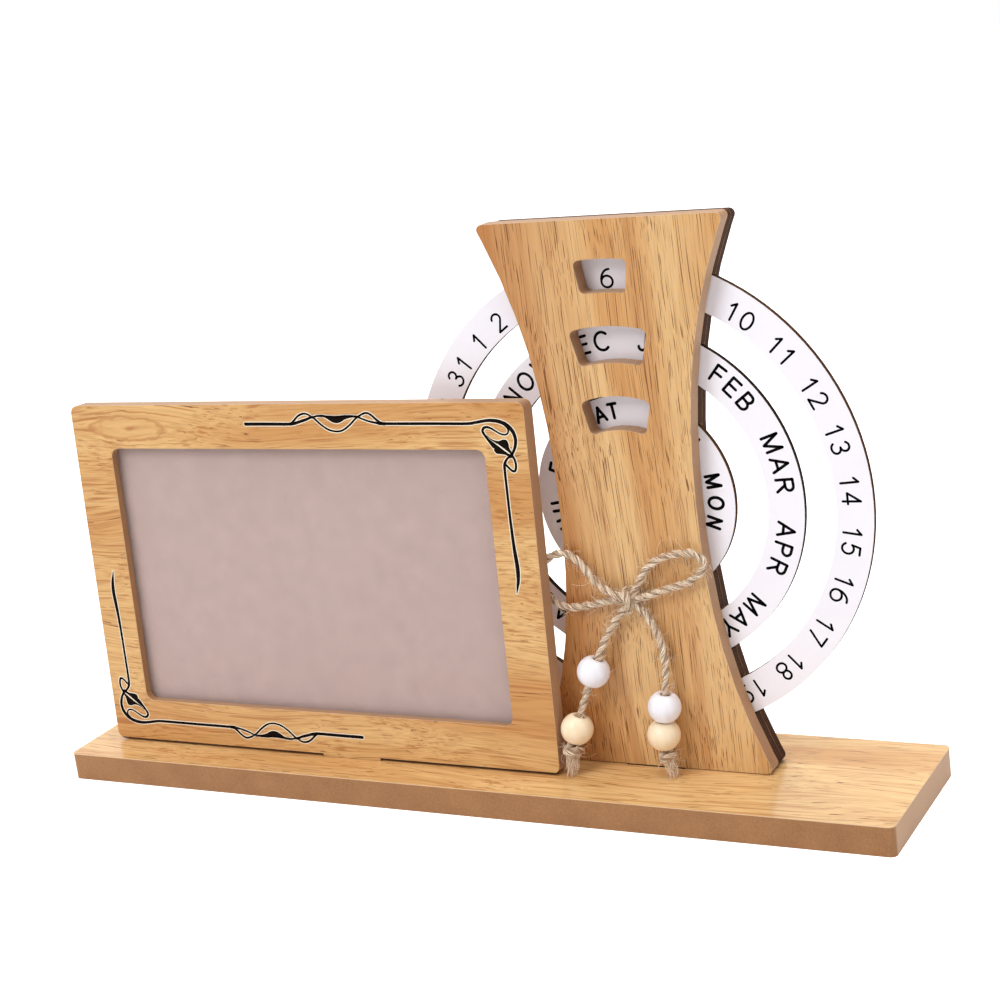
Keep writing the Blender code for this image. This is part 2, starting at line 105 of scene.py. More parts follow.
def addNode(tree, kind, inputs=None, **settings):
    node = tree.nodes.new(kind)
    for name, value in settings.items():
        setattr(node, name, value)
    for name, value in (inputs or {}).items():
        if isinstance(value, bpy.types.NodeSocket):
            tree.links.new(value, node.inputs[name])
        else:
            node.inputs[name].default_value = value
    return node


def newMaterial(name, **values):
    material = bpy.data.materials.new(name)
    material.use_nodes = True
    shader = material.node_tree.nodes["Principled BSDF"]
    for key, value in values.items():
        shader.inputs[key].default_value = value
    return material, material.node_tree, shader


def objectCoords(tree, scale=(1, 1, 1), location=(0, 0, 0), rotation=(0, 0, 0)):
    coords = addNode(tree, "ShaderNodeTexCoord").outputs["Object"]
    return addNode(tree, "ShaderNodeMapping", {
        "Vector": coords, "Scale": scale, "Location": location, "Rotation": rotation}).outputs[0]


def noise(tree, vector, detail=2.0, roughness=0.5):
    return addNode(tree, "ShaderNodeTexNoise", {
        "Vector": vector, "Scale": 1.0, "Detail": detail, "Roughness": roughness}).outputs["Fac"]


def mapRange(tree, value, low, high, toLow=0.0, toHigh=1.0):
    return addNode(tree, "ShaderNodeMapRange", {
        "Value": value, "From Min": low, "From Max": high, "To Min": toLow, "To Max": toHigh}).outputs[0]


def mixColour(tree, factor, first, second):
    node = addNode(tree, "ShaderNodeMix", {0: factor}, data_type="RGBA")
    for index, value in ((6, first), (7, second)):
        if isinstance(value, bpy.types.NodeSocket):
            tree.links.new(value, node.inputs[index])
        else:
            node.inputs[index].default_value = value
    return node.outputs[2]


def calc(tree, operation, first, second=0.0):
    return addNode(tree, "ShaderNodeMath", {0: first, 1: second}, operation=operation).outputs[0]


def vectorCalc(tree, operation, first, second):
    return addNode(tree, "ShaderNodeVectorMath", {0: first, 1: second}, operation=operation).outputs[
        "Value" if operation == "DOT_PRODUCT" else "Vector"]


def bump(tree, shader, height, distance, strength=1.0):
    node = addNode(tree, "ShaderNodeBump", {"Height": height, "Distance": distance, "Strength": strength})
    tree.links.new(node.outputs[0], shader.inputs["Normal"])


def addObject(name, mesh, material, body="stand"):
    item = bpy.data.objects.new(name, mesh)
    bpy.context.scene.collection.objects.link(item)
    mesh.materials.append(material)
    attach(item, body)
    return item


def dressNode(node, material, edge=None, axis=1):
    # A board's faces look along the axis; its cut edges may have a material of their own.
    mesh = bpy.data.objects[node].data
    mesh.materials.clear()
    mesh.materials.append(material)
    if edge:
        mesh.materials.append(edge)
        for polygon in mesh.polygons:
            polygon.material_index = 0 if abs(polygon.normal[axis]) > 0.7 else 1


# Board materials

boardValues = {
    "mid": "#D09C60",
    "dark": "#A4642C",
    "streak": "#A8652F",
    "pore": "#66330A",
    # the film's pale edge, also a painted highlight along the rim
    "skinHighlight": "#E3C49C",
    "edgeLight": "#AC7C50",
    "edgeDark": "#936642",
    "edgeSheen": "#FFE6CE",
    "burnt": "#4E2A17",
    # dark char of laser-cut edges, also the painted shade along the boards' feet
    "charDarkAndFootShade": "#2C1A0E",
    "wanderLength": 0.09,
    "wanderWidth": 0.03,
    "figureLength": 0.12,
    "figureWidth": 0.013,
    "figureRings": 7.0,
    "toneLength": 0.25,
    "toneWidth": 0.02,
    "toneRange": 0.24,
    "lateRange": (0.2, 0.5),
    "lateShare": 0.5,
    "streakRange": (0.54, 0.68),
    "fibreRange": (0.42, 0.70),
    "fibreShare": 0.6,
    "poreLate": 0.05,  # how much closer the pores lie in late wood
    "poreStep": 0.03,
    "poreShare": 0.85,
    "fibreLength": 0.022,
    "fibreWidth": 0.0006,
    "reliefDepth": 0.00003,
    "skinHighlightDepth": 0.00025,
}
baseBoard = {
    "grain": 0, "face": 2, "shift": (3.1, 7.7, 1.9), "lean": (0, 0, 0), "wander": 0.016,
    "contrast": 0.7, "roughness": 0.17, "gloss": 0.5,
    "warm": "#C89154", "pale": "#E6BE84", "paleFrom": 0.28,
    "poreLevel": 0.76, "poreLength": 0.012, "poreWidth": 0.0004,
    "streaks": 0.5, "streakLength": 0.09, "streakWidth": 0.0013,
    "point": (0, 0, baseTop), "normal": (0, 0, 1),
}
frameBoard = {
    "grain": 0, "face": 1, "shift": (8.4, 2.6, 5.2), "lean": (0, 0, 0), "wander": 0.018,
    "contrast": 0.75, "roughness": 0.42, "gloss": 0.35,
    "warm": "#C89154", "pale": "#E0B67A", "paleFrom": 0.35,
    "poreLevel": 0.79, "poreLength": 0.012, "poreWidth": 0.0003,
    "streaks": 0.7, "streakLength": 0.13, "streakWidth": 0.0008,
    "point": framePlace, "normal": frameNormal,
    "knot": (-0.0645, 0.0524),  # from the middle of the frame
    "knotLength": 0.0150, "knotWidth": 0.0044, "knotRagged": 0.7, "knotPush": -0.85,
    "knotRim": (0.95, 0.16, 0.55),  # where, how wide and how dark its outline is
    "knotCore": (0.12, 0.32, 0.75),  # from where to where it fades, and how dark it is
    "footDepth": 0.0004, "tabMiddle": 0.010, "tabWidth": 0.0225,
}
towerBoard = {
    "grain": 2, "face": 1, "shift": (1.7, 4.9, 6.3), "lean": (0, radians(1.5), 0), "wander": 0.007,
    "contrast": 0.5, "roughness": 0.42, "gloss": 0.30,
    "warm": "#D09B61", "pale": "#E0B780", "paleFrom": 0.36,
    "poreLevel": 0.67, "poreLength": 0.030, "poreWidth": 0.00020,
    "streaks": 0.35, "streakLength": 0.14, "streakWidth": 0.0045,
    "footHeight": 0.0003,
    "point": (0, towerFace, 0), "normal": (0, -1, 0),
    "warmSide": (towerX - 0.036, towerX - 0.004), "warmShare": 0.62,  # redder towards the left
}


def stretched(tree, vector, axis, length, width):
    # Makes a pattern as long along the grain and as wide across it as the two sizes say.
    scale = [1 / width] * 3
    scale[axis] = 1 / length
    return addNode(tree, "ShaderNodeMapping", {"Vector": vector, "Scale": tuple(scale)}).outputs[0]


def fromMiddle(tree):
    # How far a point lies along and up the frame from the middle of its face.
    place = addNode(tree, "ShaderNodeTexCoord").outputs["Object"]
    offset = vectorCalc(tree, "SUBTRACT", place, framePlace)
    along = vectorCalc(tree, "DOT_PRODUCT", offset, (1, 0, 0))
    return along, vectorCalc(tree, "DOT_PRODUCT", offset, frameUp)


def knotReach(tree, board):
    # Zero at the knot's middle and one on its outline.
    parts = []
    sizes = (board["knotLength"], board["knotWidth"])
    for place, middle, size in zip(fromMiddle(tree), board["knot"], sizes):
        away = calc(tree, "SUBTRACT", place, middle)
        parts.append(calc(tree, "POWER", calc(tree, "ABSOLUTE", calc(tree, "DIVIDE", away, size)), 2.0))
    ragged = noise(tree, objectCoords(tree, (160, 160, 300)))
    ragged = calc(tree, "MULTIPLY", calc(tree, "SUBTRACT", ragged, 0.5), board["knotRagged"])
    reach = calc(tree, "ADD", calc(tree, "SQRT", calc(tree, "ADD", parts[0], parts[1])), ragged)
    return reach, away


def grainPlace(tree, board, values):
    # Object coordinates, pushed sideways by slow noise so that the grain wanders, and spread round the knot.
    axis = board["grain"]
    place = objectCoords(tree, location=board["shift"], rotation=board["lean"])
    if "knot" in board:
        reach, above = knotReach(tree, board)
        bulge = calc(tree, "EXPONENT", calc(tree, "MULTIPLY", calc(tree, "POWER", reach, 2.0), -0.5))
        lift = calc(tree, "MULTIPLY", calc(tree, "MULTIPLY", above, bulge), board["knotPush"])
        shove = addNode(tree, "ShaderNodeCombineXYZ", {"Z": lift}).outputs[0]
        place = vectorCalc(tree, "ADD", place, shove)
    slow = stretched(tree, place, axis, values["wanderLength"], values["wanderWidth"])
    stray = addNode(tree, "ShaderNodeTexNoise", {
        "Vector": slow, "Scale": 1.0, "Detail": 1.0}).outputs["Color"]
    push = [board["wander"]] * 3
    push[axis] = 0
    centred = vectorCalc(tree, "SUBTRACT", stray, (0.5, 0.5, 0.5))
    return vectorCalc(tree, "ADD", place, vectorCalc(tree, "MULTIPLY", centred, tuple(push)))


def grainColour(tree, board, values):
    # Printed oak grain: growth rings cut lengthwise, brown streaks, fine fibres and dark pore lines.
    axis, contrast = board["grain"], board["contrast"]
    place = grainPlace(tree, board, values)
    figure = stretched(tree, place, axis, values["figureLength"], values["figureWidth"])
    figure = noise(tree, figure, detail=1.0)
    ring = calc(tree, "FRACT", calc(tree, "MULTIPLY", figure, values["figureRings"]))
    late = mapRange(tree, calc(tree, "ABSOLUTE", calc(tree, "SUBTRACT", ring, 0.5)), *values["lateRange"])
    tone = noise(tree, stretched(tree, place, axis, values["toneLength"], values["toneWidth"]), detail=1.0)
    tone = mapRange(tree, tone, board["paleFrom"], board["paleFrom"] + values["toneRange"])
    fibres = noise(tree, stretched(tree, place, axis, values["fibreLength"], values["fibreWidth"]),
                   detail=3.0, roughness=0.6)
    colour = mixColour(tree, tone, hexColour(board["warm"]), hexColour(board["pale"]))
    share = calc(tree, "MULTIPLY", late, values["lateShare"] * contrast)
    colour = mixColour(tree, share, colour, hexColour(values["mid"]))
    if "warmSide" in board:
        across = addNode(tree, "ShaderNodeSeparateXYZ", {0: objectCoords(tree)}).outputs["X"]
        side = mapRange(tree, across, *board["warmSide"], board["warmShare"], 0.0)
        colour = mixColour(tree, side, colour, hexColour(values["streak"]))
    streaks = stretched(tree, place, axis, board["streakLength"], board["streakWidth"])
    streak = mapRange(tree, noise(tree, streaks, detail=2.0), *values["streakRange"], 0.0, board["streaks"])
    if "knot" in board:
        reach = knotReach(tree, board)[0]
        streak = calc(tree, "MULTIPLY", streak, mapRange(tree, reach, 0.8, 1.1))
    colour = mixColour(tree, streak, colour, hexColour(values["streak"]))
    dark = mapRange(tree, fibres, *values["fibreRange"], 0.0, values["fibreShare"] * contrast)
    colour = mixColour(tree, dark, colour, hexColour(values["dark"]))
    pores = noise(tree, stretched(tree, place, axis, board["poreLength"], board["poreWidth"]), detail=0.0)
    level = mapRange(tree, late, 0.0, 1.0, board["poreLevel"], board["poreLevel"] - values["poreLate"])
    pore = calc(tree, "SUBTRACT", pores, level)
    pore = mapRange(tree, pore, 0.0, values["poreStep"], 0.0, values["poreShare"])
    colour = mixColour(tree, pore, colour, hexColour(values["pore"]))
    if "knot" in board:
        where, width, rimShare = board["knotRim"]
        rim = calc(tree, "ABSOLUTE", calc(tree, "SUBTRACT", reach, where))
        rim = mapRange(tree, rim, 0.0, width, rimShare, 0.0)
        near, far, coreShare = board["knotCore"]
        core = mapRange(tree, reach, near, far, coreShare, 0.0)
        colour = mixColour(tree, calc(tree, "MAXIMUM", rim, core), colour, hexColour(values["streak"]))
    return colour, fibres


def footLine(tree, board):
    # Painted shade: a dark line along the foot of the board, where it stands on the base; above the frame's
    # tab there is none.
    if "footHeight" in board:
        height = addNode(tree, "ShaderNodeSeparateXYZ", {0: objectCoords(tree)}).outputs["Z"]
        return calc(tree, "LESS_THAN", height, baseTop + board["footHeight"])
    along, up = fromMiddle(tree)
    above = calc(tree, "ADD", up, frameValues["height"] / 2)
    low = calc(tree, "LESS_THAN", above, board["footDepth"])
    beside = calc(tree, "ABSOLUTE", calc(tree, "SUBTRACT", along, board["tabMiddle"]))
    return calc(tree, "MULTIPLY", low, calc(tree, "GREATER_THAN", beside, board["tabWidth"] / 2))


def fibreboardColour(tree, values):
    # Sawn MDF: pressed wood dust, mottled in specks of half a millimetre and patches of about a centimetre.
    specks = noise(tree, objectCoords(tree, (2200, 2200, 2200)), detail=3.0, roughness=0.7)
    cloud = noise(tree, objectCoords(tree, (90, 90, 90)), detail=2.0)
    mottled = calc(tree, "ADD", calc(tree, "MULTIPLY", specks, 0.7), calc(tree, "MULTIPLY", cloud, 0.3))
    return mixColour(tree, mapRange(tree, mottled, 0.35, 0.65), hexColour(values["edgeDark"]),
                     hexColour(values["edgeLight"])), specks


def burntColour(tree, dark, light):
    # Laser-cut board is charred, in faint strokes left by the beam's pulses, 0.7 mm apart.
    strokes = noise(tree, objectCoords(tree, (1500, 1500, 1500)), detail=2.0)
    return mixColour(tree, mapRange(tree, strokes, 0.35, 0.65), hexColour(dark), hexColour(light))


def laminateFace(name, board):
    # Printed melamine film: satin, with the grain's relief pressed into it.
    values = boardValues
    material, tree, shader = newMaterial(name, IOR=1.5, Roughness=board["roughness"])
    shader.inputs["Specular IOR Level"].default_value = board["gloss"]
    colour, fibres = grainColour(tree, board, values)
    # Painted shade along the foot of the board, in the char's dark colour.
    if "footDepth" in board or "footHeight" in board:
        colour = mixColour(tree, footLine(tree, board), colour, hexColour(values["charDarkAndFootShade"]))
    tree.links.new(colour, shader.inputs["Base Color"])
    bump(tree, shader, fibres, values["reliefDepth"], 0.5)
    return material


def sawnEdge(name, board):
    # Sawn fibreboard under the film: matt and slightly furry, with the film's pale line along its rim, which
    # also serves as a painted highlight where a rounded edge would catch the light.
    values = boardValues
    material, tree, shader = newMaterial(name, IOR=1.5, Roughness=0.6)
    shader.inputs["Specular IOR Level"].default_value = 0.2
    shader.inputs["Sheen Weight"].default_value = 1.0
    shader.inputs["Sheen Roughness"].default_value = 0.4
    shader.inputs["Sheen Tint"].default_value = hexColour(values["edgeSheen"])
    colour, specks = fibreboardColour(tree, values)
    place = addNode(tree, "ShaderNodeTexCoord").outputs["Object"]
    depth = vectorCalc(tree, "SUBTRACT", place, board["point"])
    depth = vectorCalc(tree, "DOT_PRODUCT", depth, board["normal"])
    # The film's pale edge along the rim, which is also a painted highlight standing in for the edge's missing
    # rounding.
    isSkinHighlight = calc(tree, "LESS_THAN", calc(tree, "ABSOLUTE", depth), values["skinHighlightDepth"])
    tree.links.new(mixColour(tree, isSkinHighlight, colour, hexColour(values["skinHighlight"])), shader.inputs["Base Color"])
    bump(tree, shader, specks, values["reliefDepth"], 0.5)
    return material


def burntBoard(name, dark, light, gloss):
    # Laser-cut edge: dry char that takes the shine off the board.
    material, tree, shader = newMaterial(name, Roughness=0.85)
    shader.inputs["Specular IOR Level"].default_value = gloss
    tree.links.new(burntColour(tree, dark, light), shader.inputs["Base Color"])
    bump(tree, shader, noise(tree, objectCoords(tree, (1500, 1500, 400)), detail=2.0), 0.00005)
    return material


ringBoard = {
    "dull": "#EFEBF3", "bright": "#F6F3FA", "roughness": (0.30, 0.42),
    "brownEdge": ("#3A2213", "#5A3A24"), "blackEdge": ("#1A110C", "#33231A"), "edgeGloss": 0.05,
}


def whiteBoard(name, values):
    # White melamine film: its gloss wavers over 2.5 mm and its white over 17 mm.
    material, tree, shader = newMaterial(name, IOR=1.5)
    cloud = noise(tree, objectCoords(tree, (60, 60, 60)), detail=3.0)
    colour = mixColour(tree, cloud, hexColour(values["dull"]), hexColour(values["bright"]))
    tree.links.new(colour, shader.inputs["Base Color"])
    gloss = noise(tree, objectCoords(tree, (400, 400, 400)), detail=2.0)
    tree.links.new(mapRange(tree, gloss, 0.3, 0.7, *values["roughness"]), shader.inputs["Roughness"])
    bump(tree, shader, gloss, 0.00001)
    return material


pressedBoards = {
    "frame_back_board": ("grey-brown hardboard", "#BA9E97", "#CDB2AA"),
    "tower_back_plate": ("bare MDF", "#A67F58", "#BB956B"),
}


def pressedBoard(name, dark, light):
    # Bare pressed board: matt, with flecks of about a millimetre and patches of 8 mm.
    material, tree, shader = newMaterial(name, Roughness=0.9)
    flecks = noise(tree, objectCoords(tree, (900, 900, 1500)), detail=3.0, roughness=0.7)
    cloud = noise(tree, objectCoords(tree, (130, 130, 130)), detail=5.0, roughness=0.65)
    mottled = calc(tree, "ADD", calc(tree, "MULTIPLY", flecks, 0.4), calc(tree, "MULTIPLY", cloud, 0.6))
    colour = mixColour(tree, mapRange(tree, mottled, 0.32, 0.68), hexColour(dark), hexColour(light))
    tree.links.new(colour, shader.inputs["Base Color"])
    return material


clearSheet = {"dull": "#CDBDB9", "bright": "#D8CBC8", "index": 1.49, "roughness": 0.08, "alpha": 0.16}


def clearAcrylic(name, values):
    # Thin polished acrylic: little more than a soft gloss over the board behind it.
    material, tree, shader = newMaterial(name, IOR=values["index"], Roughness=values["roughness"],
                                         Alpha=values["alpha"])
    cloud = noise(tree, objectCoords(tree, (18, 18, 18)), detail=2.0)
    colour = mixColour(tree, cloud, hexColour(values["dull"]), hexColour(values["bright"]))
    tree.links.new(colour, shader.inputs["Base Color"])
    return material


buttonSteel = {"dull": "#B9B7B0", "bright": "#D0CEC6", "roughness": (0.25, 0.45)}


def platedSteel(name, values):
    # Zinc-plated steel, with scuffs about 1 mm wide and 4 mm long.
    material, tree, shader = newMaterial(name, Metallic=1.0)
    scuffs = noise(tree, objectCoords(tree, (900, 900, 250)), detail=3.0)
    colour = mixColour(tree, scuffs, hexColour(values["dull"]), hexColour(values["bright"]))
    tree.links.new(colour, shader.inputs["Base Color"])
    tree.links.new(mapRange(tree, scuffs, 0.3, 0.7, *values["roughness"]), shader.inputs["Roughness"])
    return material


def dressBoards():
    boards = {"base_board": baseBoard, "frame_front": frameBoard, "tower_front_plate": towerBoard}
    for node, board in boards.items():
        film = laminateFace(node + " melamine oak", board)
        dressNode(node, film, sawnEdge(node + " sawn MDF", board), board["face"])
    charred = burntBoard("laser-cut plywood", boardValues["charDarkAndFootShade"], boardValues["burnt"], 0.2)
    dressNode("tower_back_plate", pressedBoard(*pressedBoards["tower_back_plate"]), charred)
    steel = platedSteel("zinc-plated steel", buttonSteel)
    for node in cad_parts:
        if node.startswith("spacer_"):
            dressNode(node, charred)
        if node.startswith("turn_"):
            dressNode(node, steel)
    white = whiteBoard("white melamine", ringBoard)
    brown = burntBoard("browned edge", *ringBoard["brownEdge"], ringBoard["edgeGloss"])
    for node in ("date_ring", "weekday_ring"):
        dressNode(node, white, brown)
    black = burntBoard("black edge", *ringBoard["blackEdge"], ringBoard["edgeGloss"])
    dressNode("month_ring", white, black)
    dressNode("frame_back_board", pressedBoard(*pressedBoards["frame_back_board"]))
    dressNode("clear_sheet", clearAcrylic("clear acrylic", clearSheet))
    print("boards dressed")


dressBoards()


# Printed lines: ribbons with round ends, used for the lettering and the ornament

def arcPoints(x, y, across, high, start, end, steps=12):
    turns = [radians(start + (end - start) * step / steps) for step in range(steps + 1)]
    return [(x + across * cos(turn), y + high * sin(turn)) for turn in turns]


def smoothLine(points, samples, closed=False):
    # A smooth line through the points; its ends run straight on unless it is closed.
    if closed:
        ends = [points[-1]] + points + points[:2]
    else:
        ends = [points[0] * 2 - points[1]] + points + [points[-1] * 2 - points[-2]]
    smooth = []
    for a, b, c, d in zip(ends, ends[1:], ends[2:], ends[3:]):
        for step in range(samples):
            t = step / samples
            smooth.append(((b * 2) + (c - a) * t + (a * 2 - b * 5 + c * 4 - d) * t**2
                           + (b * 3 - a - c * 3 + d) * t**3) / 2)
    return smooth if closed else smooth + [points[-1]]


def addRibbon(work, points, widths, place, capSteps=5):
    # A flat ribbon along 2D points, put on its surface by place(x, y).
    flat = [Vector(point) for point in points]
    left, right = [], []
    for index, point in enumerate(flat):
        along = (flat[min(index + 1, len(flat) - 1)] - flat[max(index - 1, 0)]).normalized()
        aside = Vector((-along.y, along.x)) * widths[index] / 2
        left.append(point + aside)
        right.append(point - aside)
    verts = [[work.verts.new(place(*point)) for point in line] for line in (left, right)]
    for index in range(len(flat) - 1):
        work.faces.new((verts[0][index], verts[1][index], verts[1][index + 1], verts[0][index + 1]))
    for index, other, side in ((0, 1, -1), (-1, -2, 1)):
        along = (flat[index] - flat[other]).normalized()
        aside = left[index] - flat[index]
        cap = []
        for step in range(1, capSteps):
            turn = pi * step / capSteps
            point = flat[index] + aside * cos(turn) + along * aside.length * sin(turn)
            cap.append(work.verts.new(place(*point)))
        ends = [verts[0][index]] + cap + [verts[1][index]]
        work.faces.new(ends if side < 0 else ends[::-1])


def finishPrint(name, work, material, body, lift):
    # Gives the ribbons a hair of thickness, so that they are closed and stand just off the surface.
    mesh = bpy.data.meshes.new(name)
    result = bmesh.ops.extrude_face_region(work, geom=work.faces[:])
    moved = [item for item in result["geom"] if isinstance(item, bmesh.types.BMVert)]
    bmesh.ops.translate(work, vec=lift, verts=moved)
    bmesh.ops.recalc_face_normals(work, faces=work.faces)
    work.to_mesh(mesh)
    work.free()
    return addObject(name, mesh, material, body)


# Lettering on the rings

printValues = {"lift": 0.00001, "depth": 0.00002}  # how far the ink starts off the board, and how thick it is

# Strokes of a round monoline hand, in units of the cap height.
glyphStrokes = {
    "0": [arcPoints(0.28, 0.5, 0.28, 0.5, 90, 450, 28)],
    "1": [[(0.0, 0.76), (0.22, 1.0)], [(0.22, 1.0), (0.22, 0.0)]],
    "2": [arcPoints(0.27, 0.73, 0.26, 0.27, 165, -38) + [(0.0, 0.0)], [(0.0, 0.0), (0.55, 0.0)]],
    "3": [arcPoints(0.26, 0.755, 0.23, 0.245, 155, -90), arcPoints(0.26, 0.255, 0.27, 0.255, 90, -155)],
    "4": [[(0.42, 0.0), (0.42, 1.0)], [(0.42, 1.0), (0.0, 0.28)], [(0.0, 0.28), (0.56, 0.28)]],
    "5": [[(0.50, 1.0), (0.12, 1.0)], [(0.12, 1.0), (0.05, 0.54)],
          arcPoints(0.26, 0.33, 0.28, 0.33, 140, -152)],
    "6": [arcPoints(0.31, 0.32, 0.31, 0.32, 90, 450, 24), arcPoints(0.46, 0.36, 0.46, 0.64, 180, 88)],
    "7": [[(0.0, 1.0), (0.55, 1.0)], [(0.55, 1.0), (0.17, 0.0)]],
    "8": [arcPoints(0.28, 0.755, 0.22, 0.245, 90, 450, 24),
          arcPoints(0.28, 0.26, 0.28, 0.26, 90, 450, 24)],
    "9": [arcPoints(0.28, 0.68, 0.28, 0.32, 90, 450, 24), arcPoints(0.14, 0.64, 0.42, 0.64, 0, -92)],
    "A": [[(0.0, 0.0), (0.355, 1.0)], [(0.355, 1.0), (0.71, 0.0)], [(0.115, 0.32), (0.595, 0.32)]],
    "B": [[(0.0, 0.0), (0.0, 1.0)],
          [(0.0, 1.0), (0.28, 1.0)] + arcPoints(0.30, 0.765, 0.21, 0.235, 90, -90) + [(0.0, 0.53)],
          [(0.28, 0.53)] + arcPoints(0.30, 0.265, 0.25, 0.265, 90, -90) + [(0.0, 0.0)]],
    "C": [arcPoints(0.42, 0.5, 0.42, 0.53, 48, 312, 20)],
    "D": [[(0.0, 0.0), (0.0, 1.0)],
          [(0.0, 1.0), (0.2, 1.0)] + arcPoints(0.22, 0.5, 0.40, 0.5, 90, -90, 16) + [(0.0, 0.0)]],
    "E": [[(0.0, 0.0), (0.0, 1.0)], [(0.0, 1.0), (0.55, 1.0)], [(0.0, 0.53), (0.50, 0.53)],
          [(0.0, 0.0), (0.55, 0.0)]],
    "F": [[(0.0, 0.0), (0.0, 1.0)], [(0.0, 1.0), (0.52, 1.0)], [(0.0, 0.52), (0.46, 0.52)]],
    "G": [arcPoints(0.38, 0.5, 0.38, 0.5, 48, 330, 20), [(0.71, 0.24), (0.71, 0.47)],
          [(0.71, 0.47), (0.42, 0.47)]],
    "H": [[(0.0, 0.0), (0.0, 1.0)], [(0.60, 0.0), (0.60, 1.0)], [(0.0, 0.53), (0.60, 0.53)]],
    "I": [[(0.0, 0.0), (0.0, 1.0)]],
    "J": [[(0.38, 1.0), (0.38, 0.22)] + arcPoints(0.19, 0.21, 0.19, 0.21, 0, -180)],
    "L": [[(0.0, 1.0), (0.0, 0.0)], [(0.0, 0.0), (0.46, 0.0)]],
    "M": [[(0.0, 0.0), (0.0, 1.0)], [(0.0, 1.0), (0.385, 0.0)], [(0.385, 0.0), (0.77, 1.0)],
          [(0.77, 1.0), (0.77, 0.0)]],
    "N": [[(0.0, 0.0), (0.0, 1.0)], [(0.0, 1.0), (0.60, 0.0)], [(0.60, 0.0), (0.60, 1.0)]],
    "O": [arcPoints(0.40, 0.5, 0.40, 0.52, 90, 450, 30)],
    "P": [[(0.0, 0.0), (0.0, 1.0)],
          [(0.0, 1.0), (0.30, 1.0)] + arcPoints(0.31, 0.745, 0.25, 0.255, 90, -90) + [(0.0, 0.49)]],
    "R": [[(0.0, 0.0), (0.0, 1.0)],
          [(0.0, 1.0), (0.33, 1.0)] + arcPoints(0.34, 0.755, 0.25, 0.245, 90, -90) + [(0.0, 0.51)],
          [(0.30, 0.51), (0.64, 0.0)]],
    "S": [arcPoints(0.26, 0.75, 0.24, 0.25, 35, 250, 14)
          + arcPoints(0.26, 0.25, 0.27, 0.26, 75, -148, 14)],
    "T": [[(0.0, 1.0), (0.60, 1.0)], [(0.30, 1.0), (0.30, 0.0)]],
    "U": [[(0.0, 1.0), (0.0, 0.32)] + arcPoints(0.29, 0.30, 0.29, 0.30, 180, 360) + [(0.58, 1.0)]],
    "V": [[(0.0, 1.0), (0.33, 0.0)], [(0.33, 0.0), (0.66, 1.0)]],
    "W": [[(0.0, 1.0), (0.24, 0.0)], [(0.24, 0.0), (0.48, 1.0)], [(0.48, 1.0), (0.72, 0.0)],
          [(0.72, 0.0), (0.96, 1.0)]],
    "Y": [[(0.0, 1.0), (0.31, 0.47)], [(0.62, 1.0), (0.31, 0.47)], [(0.31, 0.47), (0.31, 0.0)]],
}


def glyphWidth(letter):
    return max(point[0] for stroke in glyphStrokes[letter] for point in stroke)


# Lengths in metres, angles in degrees round the ring
dateValues = {
    "inner": 0.06692, "cap": 0.00555, "stroke": 0.00072, "shape": 1.08, "pitch": 4.6, "pairOne": 4.0,
    "single": 8.35, "sixAt": -0.93, "shift": (0, -0.0005),
    "nudge": {1: -0.55, 2: -0.55, 10: 0.4, 11: 0.4, 12: 0.4, 18: 0.5, 19: 0.5},
}
monthValues = {
    "inner": 0.0469, "cap": 0.0053, "stroke": 0.00090, "shape": 1.1, "gap": 2.0, "marchAt": 66.6,
    "shift": (0, 0.0006), "kerning": {"AY": -1.75, "NO": 0.5},
    "nudge": {"FEB": -0.75, "MAY": 1.0, "NOV": 1.0, "DEC": -1.75, "JAN": -1.05},
    "words": ("JAN", "FEB", "MAR", "APR", "MAY", "JUN", "JUL", "AUG", "SEP", "OCT", "NOV", "DEC"),
}
weekdayValues = {
    "inner": 0.0247, "cap": 0.0045, "stroke": 0.00100, "shape": 1.0, "gap": 4.15, "shift": (0, 0.0013),
    "kerning": {"MO": 1.0, "ON": 0.6, "AT": -2.7},
    "words": {"MON": 94.2, "TUE": 145.4, "WED": 197.0, "THU": 248.6, "FRI": 297.0, "SAT": 340.4,
              "SUN": 398.8},
}


def writeGlyph(work, letter, angle, values):
    # Each glyph stays rigid, with its foot towards the ring's centre.
    width = glyphWidth(letter)
    outward = Vector((sin(angle), cos(angle)))
    onward = Vector((cos(angle), -sin(angle)))
    centreX, centreZ = ringX + values["shift"][0], ringZ + values["shift"][1]

    def place(x, y):
        flat = outward * (values["inner"] + y) + onward * x
        return (centreX + flat.x, ringFace - printValues["lift"], centreZ + flat.y)

    for stroke in glyphStrokes[letter]:
        points = [((x - width / 2) * values["cap"] * values["shape"], y * values["cap"]) for x, y in stroke]
        addRibbon(work, points, [values["stroke"]] * len(points), place)


def inkAngle(letter, values):
    middle = values["inner"] + values["cap"] / 2
    return (glyphWidth(letter) * values["cap"] * values["shape"] + values["stroke"]) / middle


def gapAfter(word, index, values):
    if index == len(word) - 1:
        return 0.0
    return radians(values["gap"] + values["kerning"].get(word[index:index + 2], 0.0))


def writeWord(work, word, start, values):
    # Writes clockwise from the start angle and returns the angle where the word ends.
    angle = start
    for index, letter in enumerate(word):
        ink = inkAngle(letter, values)
        writeGlyph(work, letter, angle + ink / 2, values)
        angle += ink + gapAfter(word, index, values)
    return angle


def wordAngle(word, values):
    return sum(inkAngle(letter, values) + gapAfter(word, index, values) for index, letter in enumerate(word))


